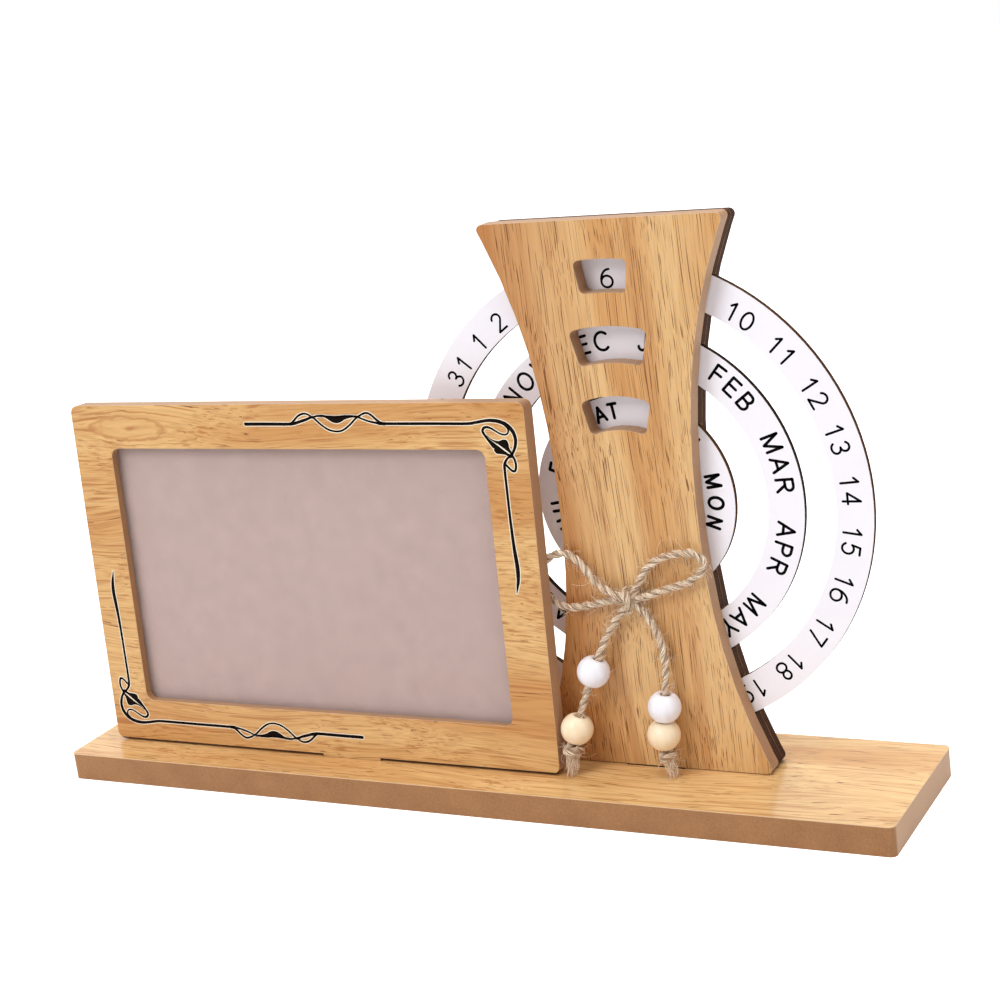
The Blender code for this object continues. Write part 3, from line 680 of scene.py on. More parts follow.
def writeDates(ink, values):
    work = bmesh.new()
    double = (360 - 9 * values["single"]) / 22  # degrees for each of the 22 days with two digits
    centre = values["sixAt"]
    cells = {6: centre}
    for day in list(range(7, 32)) + list(range(1, 6)):
        before = day - 1 if day > 1 else 31
        sizes = [values["single"] if number < 10 else double for number in (before, day)]
        cells[day] = cells[before] + sum(sizes) / 2
    for day, middle in cells.items():
        digits = str(day)
        pitch = values["pairOne"] if digits == "11" else values["pitch"]
        for index, digit in enumerate(digits):
            offset = (index - (len(digits) - 1) / 2) * pitch + values["nudge"].get(day, 0.0)
            writeGlyph(work, digit, radians(middle + offset), values)
    finishPrint("dates", work, ink, "date_dial", (0, -printValues["depth"], 0))


def writeMonths(ink, values):
    work = bmesh.new()
    words = values["words"]
    space = (2 * pi - sum(wordAngle(word, values) for word in words)) / len(words)
    angle = radians(values["marchAt"])
    for index in range(len(words)):
        word = words[(index + 2) % len(words)]
        nudge = radians(values["nudge"].get(word, 0.0))
        angle = writeWord(work, word, angle + nudge, values) - nudge + space
    finishPrint("months", work, ink, "month_dial", (0, -printValues["depth"], 0))


def writeWeekdays(ink, values):
    work = bmesh.new()
    for word, middle in values["words"].items():
        writeWord(work, word, radians(middle) - wordAngle(word, values) / 2, values)
    finishPrint("weekdays", work, ink, "weekday_dial", (0, -printValues["depth"], 0))


inks = {
    "lettering": ("black screen ink", "#020202", "#0B090A"),
    "outline": ("cream underprint", "#F4E6CE", "#FBF2E2"),
    "scroll": ("brown-black ink", "#0A0605", "#1A100C"),
}


def inkMaterial(name, dense, thin):
    # Matt printing ink, a little thin in places less than a millimetre across.
    material, tree, shader = newMaterial(name, Roughness=0.8)
    shader.inputs["Specular IOR Level"].default_value = 0.05
    cover = noise(tree, objectCoords(tree, (1200, 1200, 1200)), detail=3.0)
    tree.links.new(mixColour(tree, cover, hexColour(dense), hexColour(thin)), shader.inputs["Base Color"])
    return material


blackInk = inkMaterial(*inks["lettering"])
writeDates(blackInk, dateValues)
writeMonths(blackInk, monthValues)
writeWeekdays(blackInk, weekdayValues)
print("lettering written")


# Ornament on the frame: one scroll at the upper right, repeated half a turn away at the lower left

ornamentValues = {
    "samples": 6, "copyShift": (-0.4, 0.7), "wider": 0.2, "fillEdge": 0.2, "outline": 0.55, "lift": 0.00002,
}
# Millimetres from the middle of the frame's face; the widths are spread evenly along each stroke.
ornamentStrokes = (
    (((-15.6, 53.9), (-8.5, 53.9), (1.3, 53.85), (3.9, 54.1), (6.5, 54.8), (8.7, 55.4), (10.9, 56.1),
      (12.4, 55.0), (14.3, 53.4), (16.6, 52.0), (18.5, 51.5), (20.3, 51.4), (22.3, 51.9), (24.6, 53.3),
      (26.9, 55.2), (28.1, 56.1), (29.5, 56.8), (31.0, 57.35), (32.2, 57.3), (33.6, 56.5), (35.0, 55.3),
      (36.3, 54.3), (37.8, 53.85)),
     (0.95, 0.85, 0.8, 0.55, 0.5, 0.45, 0.5, 0.45, 0.55, 0.6, 0.75)),
    (((2.2, 53.85), (3.6, 54.95), (5.3, 56.4), (6.8, 57.1), (8.1, 57.3), (9.4, 57.0), (10.9, 56.2),
      (12.6, 56.45), (14.7, 56.5), (17.6, 56.3), (20.3, 56.2), (23.0, 56.4), (25.4, 56.4),
      (28.0, 56.15), (29.8, 55.5), (32.1, 54.75), (34.5, 54.2), (36.8, 53.85)),
     (0.5, 0.55, 0.45, 0.4, 0.4, 0.45, 0.6)),
    (((36.0, 53.88), (55.1, 53.85), (67.5, 53.8), (70.8, 54.15), (73.6, 54.6), (76.1, 54.8),
      (78.9, 54.5), (81.2, 53.65), (83.0, 52.2), (84.0, 50.5), (84.35, 48.5), (84.0, 46.7),
      (83.35, 45.2), (82.5, 43.9)),
     (0.75, 0.75, 0.75, 0.8, 1.0, 1.15, 1.05, 0.95, 0.8, 0.6)),
    (((81.4, 53.1), (82.1, 52.0), (81.95, 50.9), (81.0, 50.3), (79.4, 50.5), (77.7, 51.4),
      (76.2, 52.25), (74.7, 52.7), (73.6, 52.35), (73.1, 51.4), (73.55, 50.4), (74.4, 49.1),
      (75.35, 47.7), (76.3, 46.3)),
     (0.5, 0.4, 0.4, 0.4, 0.55, 0.75, 0.7, 0.6, 0.45)),
    (((82.3, 44.1), (83.2, 42.7), (83.6, 41.0), (83.45, 39.6), (83.0, 38.75), (82.1, 38.85),
      (81.2, 39.6), (80.4, 40.45), (79.8, 40.85)),
     (0.6, 0.65, 0.6, 0.55, 0.5)),
    (((82.2, 43.4), (81.2, 43.0), (80.4, 42.2), (79.65, 40.9), (79.5, 39.2), (79.5, 36.0),
      (79.55, 31.1), (79.6, 27.0), (79.65, 23.3), (79.75, 19.6), (79.9, 15.5), (80.1, 12.2),
      (80.35, 9.3), (80.45, 6.4), (80.25, 3.5), (79.8, 1.4), (79.3, -0.7)),
     (0.45, 0.55, 0.75, 0.75, 0.7, 0.7, 0.8, 0.95, 1.2, 1.25, 0.9, 0.1)),
)
ornamentFills = (
    ((12.6, 56.6), (14.7, 56.8), (17.6, 56.4), (20.3, 56.3), (23.0, 56.55), (25.4, 56.65), (27.9, 56.4),
     (25.8, 56.0), (23.3, 55.4), (21.5, 54.5), (20.0, 54.2), (18.5, 54.5), (17.2, 55.2), (15.9, 56.0),
     (14.3, 56.4)),
    ((74.3, 49.9), (75.6, 48.95), (77.0, 48.4), (78.5, 48.2), (80.0, 48.65), (81.2, 48.4),
     (81.65, 47.4), (81.8, 46.1), (82.4, 44.85), (82.95, 43.9), (81.75, 44.7), (79.9, 46.1),
     (78.05, 47.4), (76.0, 48.6)),
    ((74.8, 48.9), (75.5, 47.4), (76.6, 46.2), (76.6, 45.2), (77.3, 44.4), (78.9, 44.2), (80.5, 43.9),
     (82.0, 43.0), (82.4, 43.4), (80.6, 44.7), (78.7, 46.1), (77.0, 47.35)),
)


def spread(sizes, count):
    # The sizes, blended evenly over the given number of points.
    blended = []
    for step in range(count):
        place = step / (count - 1) * (len(sizes) - 1)
        index = min(int(place), len(sizes) - 2)
        blended.append(sizes[index] + (sizes[index + 1] - sizes[index]) * (place - index))
    return blended


def drawOrnament(name, ink, values, layer, outline):
    # One printed layer; the pale one lies below and is wider by the outline.
    work = bmesh.new()
    off = frameNormal * values["lift"] * (1.5 * layer + 0.5)
    for turn, shift in ((1, (0, 0)), (-1, values["copyShift"])):
        def place(x, y):
            flat = Vector((1, 0, 0)) * (turn * x + shift[0]) / 1000
            return framePlace + flat + frameUp * (turn * y + shift[1]) / 1000 + off

        for points, sizes in ornamentStrokes:
            line = smoothLine([Vector(point) for point in points], values["samples"])
            widths = [size + values["wider"] + outline for size in spread(sizes, len(line))]
            addRibbon(work, line, widths, place)
        for points in ornamentFills:
            edge = smoothLine([Vector(point) for point in points], values["samples"], closed=True)
            addRibbon(work, edge + edge[:1], [values["fillEdge"] + outline] * (len(edge) + 1), place)
            if layer:
                work.faces.new([work.verts.new(place(*point)) for point in edge])
    finishPrint(name, work, ink, "stand", frameNormal * values["lift"])
    print(name, "drawn")


drawOrnament("scroll_outline", inkMaterial(*inks["outline"]), ornamentValues, 0, ornamentValues["outline"])
drawOrnament("scroll", inkMaterial(*inks["scroll"]), ornamentValues, 1, 0.0)


# Twine bow

twineValues = {
    "diameter": 0.0022,
    "plied": 0.0026,  # across both plies
    "twist": 0.0085,  # one full turn of the two plies
    "step": 0.00035,
    "samples": 16,
    "around": 18,
    "lobeOffset": 0.31,
    "lobeSize": 0.69,
    "uneven": 0.11,
    "uvLength": 0.01,
    "knotPlace": (-0.0011, 0.0569, 0.0026),
    "knotHeart": (-0.0011, 0.0569, 0.0030),
    "knotSize": (0.0078, 0.0046, 0.0068),
    "knotGap": 0.0007,
    "tailEnd": 0.0006,
    "straw": "#FFEFD6",
    "shade": "#8A5F3C",
    "patch": "#DDBB9C",
    # painted shade in the grooves between the plies
    "grooveShade": "#74502F",
    "looseFibre": ("#DDBB98", "#FFF1DE"),
    "fibreLength": 0.0024,
    "fibreDensity": 340000.0,
    "fibreRadius": 0.000045,
    "strayLength": 0.0056,
    "strayDensity": 44000.0,
}
leftLoopRoute = (
    (-0.0030, 0.0577, 0.0034), (-0.0069, 0.0593, 0.0036), (-0.0107, 0.0614, 0.0033),
    (-0.0138, 0.0646, 0.0030), (-0.0167, 0.0685, 0.0030), (-0.0193, 0.0706, 0.0028),
    (-0.0217, 0.0715, 0.0026), (-0.0251, 0.0710, 0.0022), (-0.0283, 0.0695, 0.0019),
    (-0.0314, 0.0664, 0.0018), (-0.0325, 0.0628, 0.0018), (-0.0316, 0.0592, 0.0018),
    (-0.0294, 0.0564, 0.0018), (-0.0267, 0.0545, 0.0020), (-0.0242, 0.0538, 0.0024),
    (-0.0198, 0.0538, 0.0028), (-0.0150, 0.0547, 0.0029), (-0.0107, 0.0558, 0.0027),
    (-0.0072, 0.0565, 0.0024), (-0.0030, 0.0568, 0.0023),
)
rightLoopRoute = (
    (0.0010, 0.0602, 0.0028), (0.0031, 0.0636, 0.0030), (0.0051, 0.0666, 0.0030),
    (0.0078, 0.0692, 0.0030), (0.0106, 0.0709, 0.0030), (0.0141, 0.0720, 0.0030),
    (0.0174, 0.0726, 0.0028), (0.0206, 0.0727, 0.0026), (0.0233, 0.0714, 0.0024),
    (0.0246, 0.0692, 0.0023), (0.0231, 0.0663, 0.0024), (0.0196, 0.0637, 0.0026),
    (0.0162, 0.0623, 0.0028), (0.0129, 0.0613, 0.0030), (0.0094, 0.0602, 0.0030),
    (0.0059, 0.0588, 0.0030), (0.0015, 0.0575, 0.0028),
)
leftTailRoute = (
    (-0.0020, 0.0555, 0.0029), (-0.0043, 0.0528, 0.0030), (-0.0071, 0.0494, 0.0030),
    (-0.0110, 0.0435, 0.0036), (-0.0130, 0.0387, 0.0045), (-0.0152, 0.0335, 0.0057),
    (-0.0175, 0.0277, 0.0068), (-0.0197, 0.0216, 0.0078), (-0.0218, 0.0150, 0.0089),
    (-0.0229, 0.0104, 0.0100),
)
rightTailRoute = (
    (-0.0002, 0.0559, 0.0027), (0.0020, 0.0544, 0.0028), (0.0050, 0.0506, 0.0030),
    (0.0072, 0.0458, 0.0032), (0.0085, 0.0411, 0.0036), (0.0091, 0.0364, 0.0042),
    (0.0089, 0.0300, 0.0052), (0.0079, 0.0231, 0.0057), (0.0068, 0.0139, 0.0060),
    (0.0070, 0.0089, 0.0062),
)
knotWrapRoute = (
    (-0.0030, 0.0598, 0.0016), (-0.0021, 0.0596, 0.0038), (-0.0012, 0.0582, 0.0050),
    (-0.0007, 0.0566, 0.0052), (-0.0008, 0.0548, 0.0046), (-0.0015, 0.0538, 0.0030),
    (-0.0020, 0.0540, 0.0014),
)


def fromTower(point):
    across, height, out = point
    return Vector((towerX + across, towerFace - out, baseTop + height))


def smoothRoute(route):
    return smoothLine([fromTower(point) for point in route], twineValues["samples"])


def evenRoute(points, spacing):
    lengths = [0.0]
    for first, second in zip(points, points[1:]):
        lengths.append(lengths[-1] + (second - first).length)
    count = ceil(lengths[-1] / spacing)
    even, index = [], 0
    for step in range(count + 1):
        wanted = lengths[-1] * step / count
        while index < len(points) - 2 and lengths[index + 1] < wanted:
            index += 1
        share = (wanted - lengths[index]) / (lengths[index + 1] - lengths[index])
        even.append(points[index].lerp(points[index + 1], share))
    return even, lengths[-1]


def clearOfKnot(point, values):
    offset = point - fromTower(values["knotPlace"])
    return sum((part / (size / 2 + values["knotGap"])) ** 2
               for part, size in zip(offset, values["knotSize"])) > 1


def twineMesh(name, points, values, radius):
    # Two plies laid round each other: a two-lobed section that turns along the route.
    work = bmesh.new()
    uvLayer = work.loops.layers.uv.new("along")
    offset, size, count = values["lobeOffset"], values["lobeSize"], values["around"]
    across = (points[1] - points[0]).orthogonal().normalized()
    rows, runs, run = [], [], 0.0
    for index, point in enumerate(points):
        along = (points[min(index + 1, len(points) - 1)] - points[max(index - 1, 0)]).normalized()
        across = (across - along * across.dot(along)).normalized()
        other = along.cross(across)
        if index:
            run += (point - points[index - 1]).length
        turn = 2 * pi * run / values["twist"]
        row = []
        for step in range(count):
            angle = 2 * pi * step / count
            uneven = values["uneven"] * sin(1900 * run + 3 * angle) * sin(830 * run + angle)
            reach = abs(cos(angle)) * offset + (size**2 - (offset * sin(angle)) ** 2) ** 0.5
            reach *= radius * (1 + uneven)
            first = across * cos(angle + turn) * reach
            second = other * sin(angle + turn) * reach
            row.append(work.verts.new(point + first + second))
        rows.append(row)
        runs.append(run)
    for index in range(len(rows) - 1):
        here, there, low, high = rows[index], rows[index + 1], runs[index], runs[index + 1]
        for step in range(count):
            after = (step + 1) % count
            face = work.faces.new((here[step], here[after], there[after], there[step]))
            corners = ((step, low), (step + 1, low), (step + 1, high), (step, high))
            for loop, (u, v) in zip(face.loops, corners):
                loop[uvLayer].uv = (u / count, v / values["uvLength"])
    work.faces.new(rows[0][::-1])
    work.faces.new(rows[-1])
    mesh = bpy.data.meshes.new(name)
    work.to_mesh(mesh)
    work.free()
    mesh.shade_smooth()
    return mesh


def juteMaterial(name, values):
    # Two-ply jute: dry straw-coloured fibres that run along each ply, with painted shade in the grooves
    # between.
    material, tree, shader = newMaterial(name, Roughness=0.85)
    uv = addNode(tree, "ShaderNodeUVMap", uv_map="along").outputs[0]
    fine = addNode(tree, "ShaderNodeMapping", {"Vector": uv, "Scale": (26.0, 3.2, 1.0)}).outputs[0]
    fibres = noise(tree, fine, detail=3.0, roughness=0.65)
    patches = noise(tree, objectCoords(tree, (350, 350, 350)), detail=2.0)
    share = mapRange(tree, fibres, 0.42, 0.57)
    colour = mixColour(tree, share, hexColour(values["shade"]), hexColour(values["straw"]))
    share = mapRange(tree, patches, 0.45, 0.70, 0.0, 0.4)
    colour = mixColour(tree, share, colour, hexColour(values["patch"]))
    around = addNode(tree, "ShaderNodeSeparateXYZ", {0: uv}).outputs["X"]
    # Painted shade where the two plies meet.
    grooveShade = calc(tree, "ABSOLUTE", calc(tree, "SINE", calc(tree, "MULTIPLY", around, 2 * pi)))
    share = mapRange(tree, grooveShade, 0.80, 1.0, 0.0, 0.65)
    colour = mixColour(tree, share, colour, hexColour(values["grooveShade"]))
    tree.links.new(colour, shader.inputs["Base Color"])
    bump(tree, shader, fibres, 0.00018)
    return material


def fuzzMaterial(name, values):
    # Single jute fibres: paler and drier than the twine, because light comes through them.
    material, tree, shader = newMaterial(name, Roughness=0.8)
    shade = noise(tree, objectCoords(tree, (600, 600, 600)), detail=1.0)
    colour = mixColour(tree, shade, *(hexColour(text) for text in values["looseFibre"]))
    tree.links.new(colour, shader.inputs["Base Color"])
    return material


def fibreTree():
    # Loose fibres that stand out of a surface, so many to a square metre; the bend is in fibre lengths.
    tree = bpy.data.node_groups.new("loose fibres", "GeometryNodeTree")
    face = tree.interface
    face.new_socket("Geometry", in_out="INPUT", socket_type="NodeSocketGeometry")
    for name, kind, value in (("Density", "NodeSocketFloat", 1.0), ("Length", "NodeSocketFloat", 0.002),
                              ("Thickness", "NodeSocketFloat", 0.00003), ("Seed", "NodeSocketInt", 1),
                              ("Material", "NodeSocketMaterial", None)):
        socket = face.new_socket(name, in_out="INPUT", socket_type=kind)
        if value is not None:
            socket.default_value = value
    face.new_socket("Geometry", in_out="OUTPUT", socket_type="NodeSocketGeometry")
    given = addNode(tree, "NodeGroupInput").outputs
    points = addNode(tree, "GeometryNodeDistributePointsOnFaces", {
        "Mesh": given["Geometry"], "Density": given["Density"], "Seed": given["Seed"]})
    bend = addNode(tree, "GeometryNodeCurveQuadraticBezier", {
        "Resolution": 5, "Start": (0, 0, -0.1), "Middle": (0.15, 0.0, 0.5), "End": (0.85, 0.1, 0.45)})
    profile = addNode(tree, "GeometryNodeCurvePrimitiveCircle", {"Resolution": 3}, mode="RADIUS")
    thickness = calc(tree, "DIVIDE", given["Thickness"], given["Length"])
    tree.links.new(thickness, profile.inputs["Radius"])
    hair = addNode(tree, "GeometryNodeCurveToMesh", {
        "Curve": bend.outputs[0], "Profile Curve": profile.outputs[0], "Fill Caps": True})
    size = addNode(tree, "FunctionNodeRandomValue", {
        2: 0.45, 3: 1.25, "Seed": given["Seed"]}, data_type="FLOAT").outputs[1]
    turn = addNode(tree, "FunctionNodeRandomValue", {
        0: (-0.5, -0.5, 0.0), 1: (0.5, 0.5, 6.283), "Seed": given["Seed"]}, data_type="FLOAT_VECTOR")
    turned = addNode(tree, "FunctionNodeEulerToRotation", {0: turn.outputs[0]})
    aimed = addNode(tree, "FunctionNodeRotateRotation", {
        "Rotation": points.outputs["Rotation"], "Rotate By": turned.outputs[0]}, rotation_space="LOCAL")
    placed = addNode(tree, "GeometryNodeInstanceOnPoints", {
        "Points": points.outputs["Points"], "Instance": hair.outputs[0], "Rotation": aimed.outputs[0],
        "Scale": calc(tree, "MULTIPLY", size, given["Length"])})
    real = addNode(tree, "GeometryNodeRealizeInstances", {0: placed.outputs[0]})
    dressed = addNode(tree, "GeometryNodeSetMaterial", {
        "Geometry": real.outputs[0], "Material": given["Material"]})
    addNode(tree, "NodeGroupOutput", {0: dressed.outputs[0]})
    return tree


def growFibres(name, carrier, tree, length, density, seed, material):
    # Grows fibres on a copy of the carrier and keeps them as a plain mesh.
    grower = bpy.data.objects.new(name + "_grower", carrier.data.copy())
    bpy.context.scene.collection.objects.link(grower)
    modifier = grower.modifiers.new("fibres", "NODES")
    modifier.node_group = tree
    given = {"Density": density, "Length": length, "Seed": seed, "Thickness": twineValues["fibreRadius"],
             "Material": material}
    for item in tree.interface.items_tree:
        if item.in_out == "INPUT" and item.name in given:
            modifier[item.identifier] = given[item.name]
    evaluated = grower.evaluated_get(bpy.context.evaluated_depsgraph_get())
    mesh = bpy.data.meshes.new_from_object(evaluated)
    bpy.data.objects.remove(grower)
    item = bpy.data.objects.new(name, mesh)
    bpy.context.scene.collection.objects.link(item)
    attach(item, "stand")
    return item


def growAll(name, carrier, tree, seed, material):
    # A close down of short fibres and a few long strays.
    values = twineValues
    kinds = (("_fibres", values["fibreLength"], values["fibreDensity"], seed),
             ("_strays", values["strayLength"], values["strayDensity"], seed + 40))
    return [growFibres(name + kind, carrier, tree, length, density, ownSeed, material)
            for kind, length, density, ownSeed in kinds]


beadValues = {
    "diameter": 0.0105, "height": 0.0087, "bore": 0.0033, "lip": 0.0004, "steps": 48, "arc": 20,
    "left": (5, 8), "right": (7, 8),  # which points of the tail's route they sit on
    "white": ("#F5F3F8", "#ECE9F0", 0.38), "plain": ("#FBE7CA", "#F5DEBA", 0.42),
}


def beadMesh(name, values, centre, direction):
    # A drilled wooden ball with flats at its bore and a softened lip.
    outer, top, bore = values["diameter"] / 2, values["height"] / 2, values["bore"] / 2
    first = asin((outer**2 - top**2) ** 0.5 / outer)
    profile = []
    for step in range(values["arc"] + 1):
        turn = first + (pi - 2 * first) * step / values["arc"]
        profile.append((outer * sin(turn), outer * cos(turn)))
    lip = values["lip"]
    profile += [(bore + lip, -top), (bore + lip * 0.3, -top + lip * 0.3), (bore, -top + lip),
                (bore, top - lip), (bore + lip * 0.3, top - lip * 0.3), (bore + lip, top)]
    work = bmesh.new()
    turned = direction.to_track_quat("Z", "Y").to_matrix()
    rows = []
    for step in range(values["steps"]):
        angle = 2 * pi * step / values["steps"]
        rows.append([work.verts.new(centre + turned @ Vector((r * cos(angle), r * sin(angle), z)))
                     for r, z in profile])
    for index in range(values["steps"]):
        here, there = rows[index], rows[(index + 1) % values["steps"]]
        for step in range(len(profile)):
            after = (step + 1) % len(profile)
            work.faces.new((here[step], here[after], there[after], there[step]))
    bmesh.ops.recalc_face_normals(work, faces=work.faces)
    mesh = bpy.data.meshes.new(name)
    work.to_mesh(mesh)
    work.free()
    mesh.shade_smooth()
    return mesh


def beadMaterial(name, light, dark, roughness):
    # Turned wood, painted or varnished: faint grain lines 2 mm apart under a satin coat.
    material, tree, shader = newMaterial(name, Roughness=roughness)
    shader.inputs["Coat Weight"].default_value = 0.15
    grain = noise(tree, objectCoords(tree, (500, 500, 90)), detail=3.0)
    tree.links.new(mixColour(tree, mapRange(tree, grain, 0.35, 0.65), hexColour(dark), hexColour(light)),
                   shader.inputs["Base Color"])
    bump(tree, shader, grain, 0.00003)
    return material


endKnotValues = {
    "size": {"left": 1.08, "right": 0.92},
    "wraps": 1.4, "wrapSteps": 24, "radius": 0.0020, "flat": 0.85, "start": 0.0009, "rise": 0.0019,
    "twine": 0.0015,
    "strands": 64, "strandSteps": 6, "strandRadius": 0.00015, "wave": 0.0011,
    "tuftLength": 0.0086, "tuftTop": 0.0022, "tuftTip": 0.0013, "tuftFrom": 0.0020,
}


def endKnotMesh(name, top, tip, size, values):
    # A doubled overhand knot, drawn as coiled turns of the twine, above a frayed tuft.
    down = (tip - top).normalized()
    side = down.orthogonal().normalized()
    other = down.cross(side)
    route = []
    steps = int(values["wraps"] * values["wrapSteps"])
    for step in range(steps + 1):
        turn = 2 * pi * values["wraps"] * step / steps
        reach = size * values["radius"] * (0.72 + 0.28 * sin(pi * step / steps))
        middle = top + down * (values["start"] + values["rise"] * values["wraps"] * step / steps)
        route.append(middle + side * cos(turn) * reach + other * sin(turn) * reach * values["flat"])
    even = evenRoute(route, twineValues["step"])[0]
    return twineMesh(name, even, twineValues, size * values["twine"])


def tuftMesh(name, top, tip, size, values):
    # Untwisted fibres below the knot, each a thin bent strand.
    down = (tip - top).normalized()
    side = down.orthogonal().normalized()
    other = down.cross(side)
    start = top + down * values["tuftFrom"]
    work = bmesh.new()
    for strand in range(values["strands"]):
        turn = strand * 2.39996  # golden angle, so the strands spread evenly
        share = ((strand + 0.5) / values["strands"]) ** 0.5
        aside = side * cos(turn) + other * sin(turn)
        length = size * values["tuftLength"] * (0.35 + 0.65 * abs(sin(strand * 1.7)))
        rows = []
        for step in range(values["strandSteps"] + 1):
            t = step / values["strandSteps"]
            spreadOut = values["tuftTop"] + (values["tuftTip"] - values["tuftTop"]) * t
            middle = start + down * length * t + aside * spreadOut * share * size
            stray = other * sin(strand * 2.1 + 5 * t) + side * cos(strand * 1.3 + 4 * t)
            middle += stray * values["wave"] * t
            reach = values["strandRadius"] * (1.25 - t)
            rows.append([work.verts.new(middle + (side * cos(a) + other * sin(a)) * reach)
                         for a in (0, 2 * pi / 3, 4 * pi / 3)])
        for first, second in zip(rows, rows[1:]):
            for corner in range(3):
                after = (corner + 1) % 3
                work.faces.new((first[corner], first[after], second[after], second[corner]))
        work.faces.new(rows[0][::-1])
        work.faces.new(rows[-1])
    bmesh.ops.recalc_face_normals(work, faces=work.faces)
    mesh = bpy.data.meshes.new(name)
    work.to_mesh(mesh)
    work.free()
    mesh.shade_smooth()
    return mesh


def layTwine(jute, fuzz, fibres):
    # Lays the four stretches that leave the knot, and gathers the strands that run inside it.
    values = twineValues
    heart = [fromTower(values["knotHeart"])]
    knotStrands = [smoothRoute(knotWrapRoute)]
    pieces = {}
    for name, route in (("twine_loop_left", leftLoopRoute), ("twine_loop_right", rightLoopRoute),
                        ("twine_tail_left", leftTailRoute), ("twine_tail_right", rightTailRoute)):
        smooth = smoothRoute(route)
        outside = [point for point in smooth if clearOfKnot(point, values)]
        while "tail" in name and (outside[-1] - smooth[-1]).length < values["tailEnd"]:
            outside.pop()
        first = smooth.index(outside[0])
        knotStrands.append(heart + smooth[:first + 3])
        if "loop" in name:
            last = smooth.index(outside[-1])
            knotStrands.append(smooth[last - 2:] + heart)
        points, length = evenRoute(outside, values["step"])
        mesh = twineMesh(name + "_plied", points, values, values["plied"] / 2)
        piece = addObject(name + "_plied", mesh, jute)
        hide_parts(name)
        pieces[name] = (piece, points, length, smooth)
        growAll(name, piece, fibres, len(pieces), fuzz)
    return pieces, knotStrands


def tieKnot(knotStrands, jute, fuzz, fibres):
    values = twineValues
    knotMesh = bpy.data.meshes.new("twine_knot_plied")
    work = bmesh.new()
    for strand in knotStrands:
        part = twineMesh("strand", evenRoute(strand, values["step"])[0], values, values["plied"] / 2)
        work.from_mesh(part)
        bpy.data.meshes.remove(part)
    work.to_mesh(knotMesh)
    work.free()
    knotMesh.shade_smooth()
    knot = addObject("twine_knot_plied", knotMesh, jute)
    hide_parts("twine_knot")
    growAll("twine_knot", knot, fibres, 9, fuzz)


def finishTail(side, smooth, white, plain, jute, fuzz, fibres):
    # Threads two beads on a tail and ties its frayed end; returns what hangs on it.
    onTail = []
    half = twineValues["samples"] // 2
    for number, place in enumerate(beadValues[side], 1):
        index = place * twineValues["samples"]
        direction = smooth[index - half] - smooth[index + half]
        mesh = beadMesh("bead", beadValues, smooth[index], direction)
        bead = addObject(f"bead_{side}_{number}_turned", mesh, white if number == 1 else plain)
        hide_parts(f"bead_{side}_{number}")
        onTail.append(bead)
    low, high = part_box("twine_end_" + side)
    tip = Vector([(a + b) / 2 for a, b in zip(low, high)])
    size = endKnotValues["size"][side]
    knotEnd = endKnotMesh("end", smooth[-1], tip, size, endKnotValues)
    knotEnd = addObject(f"twine_end_{side}_plied", knotEnd, jute)
    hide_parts("twine_end_" + side)
    tuft = tuftMesh("tuft", smooth[-1], tip, size, endKnotValues)
    tuft = addObject(f"twine_end_{side}_tuft", tuft, fuzz)
    return onTail + [knotEnd, tuft] + growAll("twine_end_" + side, knotEnd, fibres, 5, fuzz)


def makeBow():
    jute = juteMaterial("two-ply jute", twineValues)
    fuzz = fuzzMaterial("loose jute fibre", twineValues)
    fibres = fibreTree()
    white = beadMaterial("white painted beech", *beadValues["white"])
    plain = beadMaterial("varnished maple", *beadValues["plain"])
    pieces, knotStrands = layTwine(jute, fuzz, fibres)
    tieKnot(knotStrands, jute, fuzz, fibres)
    for side in ("left", "right"):
        tail, points, length, smooth = pieces["twine_tail_" + side]
        onTail = finishTail(side, smooth, white, plain, jute, fuzz, fibres)
        loop, points, length, smooth = pieces["twine_loop_" + side]
    print("bow tied")


makeBow()


# Floor, backdrop and light

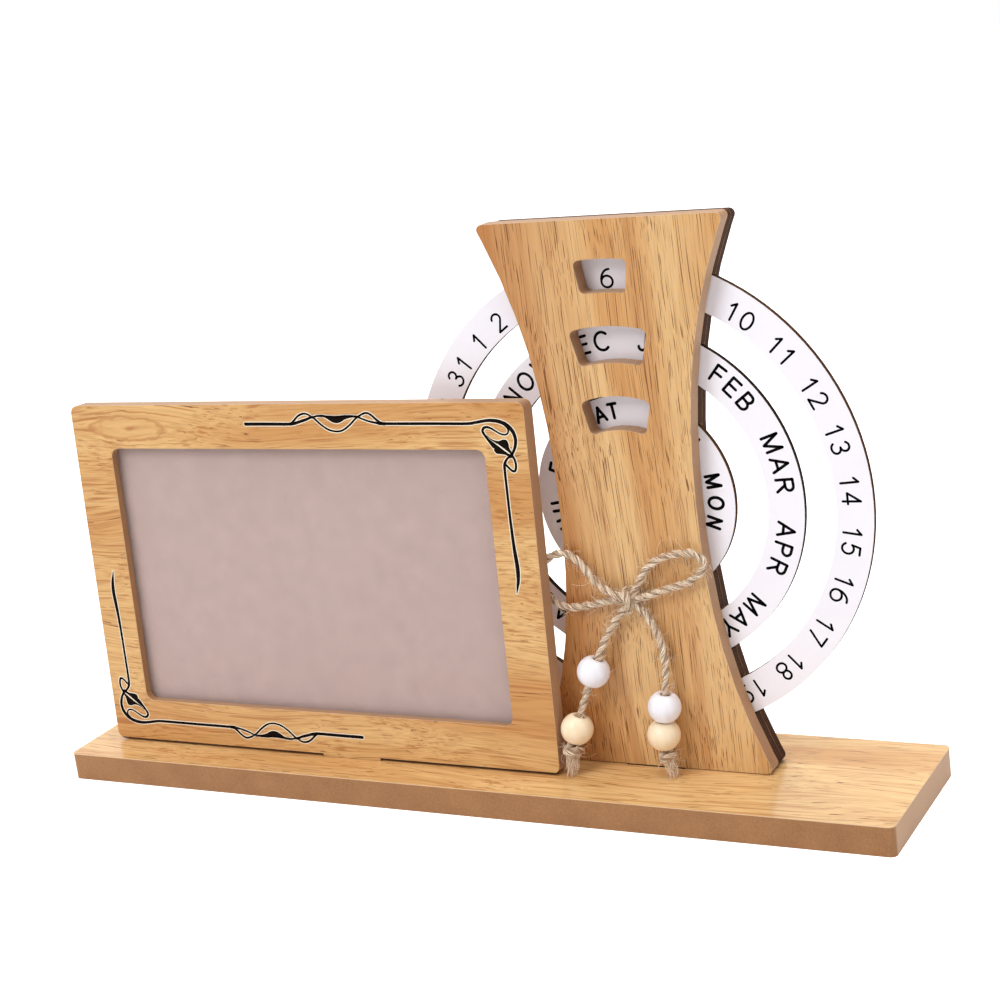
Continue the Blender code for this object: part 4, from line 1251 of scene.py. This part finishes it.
stageValues = {
    "floorSize": 6.0,
    "floorColour": "#E6E6E6",
    "floorGlow": 0.75,
    "worldStrength": 0.37,
    "lamps": {  # place, aim, size and power
        "key": ((-0.40, -0.95, 0.95), (0, 0, 0.08), 0.6, 8.4),
        "fill": ((0.75, -0.45, 0.85), (0, 0, 0.08), 0.9, 1.2),
        "top": ((0.25, 0.05, 1.2), (0.1, 0.0, 0.05), 1.0, 10.5),
        "rim": ((-0.80, 0.85, 1.00), (0, 0, 0.1), 0.7, 8.0),
    },
}


def seenRays(tree):
    # One for rays that come straight from the camera, off a shiny surface or through a clear one.
    rays = addNode(tree, "ShaderNodeLightPath").outputs
    mirrored = calc(tree, "MAXIMUM", rays["Is Glossy Ray"], rays["Is Transmission Ray"])
    return calc(tree, "MAXIMUM", rays["Is Camera Ray"], mirrored)


def makeStage(values):
    mesh = bpy.data.meshes.new("floor")
    work = bmesh.new()
    bmesh.ops.create_grid(work, size=values["floorSize"] / 2)
    work.to_mesh(mesh)
    work.free()
    floor = bpy.data.objects.new("floor", mesh)
    bpy.context.scene.collection.objects.link(floor)
    material, tree, shader = newMaterial("white paper floor", Roughness=0.9)
    shader.inputs["Base Color"].default_value = hexColour(values["floorColour"])
    # The camera and mirrors see the floor as white, and it keeps the shadow.
    glow = calc(tree, "MULTIPLY", seenRays(tree), values["floorGlow"])
    tree.links.new(glow, shader.inputs["Emission Strength"])
    shader.inputs["Emission Color"].default_value = (1, 1, 1, 1)
    mesh.materials.append(material)

    world = bpy.data.worlds.new("white studio")
    world.use_nodes = True
    bpy.context.scene.world = world
    tree = world.node_tree
    background = tree.nodes["Background"]
    background.inputs["Color"].default_value = (1, 1, 1, 1)
    strength = mapRange(tree, seenRays(tree), 0, 1, values["worldStrength"], 1.0)
    tree.links.new(strength, background.inputs["Strength"])

    for name, (place, aim, size, power) in values["lamps"].items():
        lamp = bpy.data.lights.new(name, "AREA")
        lamp.energy = power
        lamp.size = size
        item = bpy.data.objects.new(name, lamp)
        bpy.context.scene.collection.objects.link(item)
        item.location = place
        item.rotation_euler = (Vector(place) - Vector(aim)).to_track_quat("Z", "Y").to_euler()
    bpy.context.scene.view_settings.view_transform = "Standard"
    print("stage lit")


makeStage(stageValues)
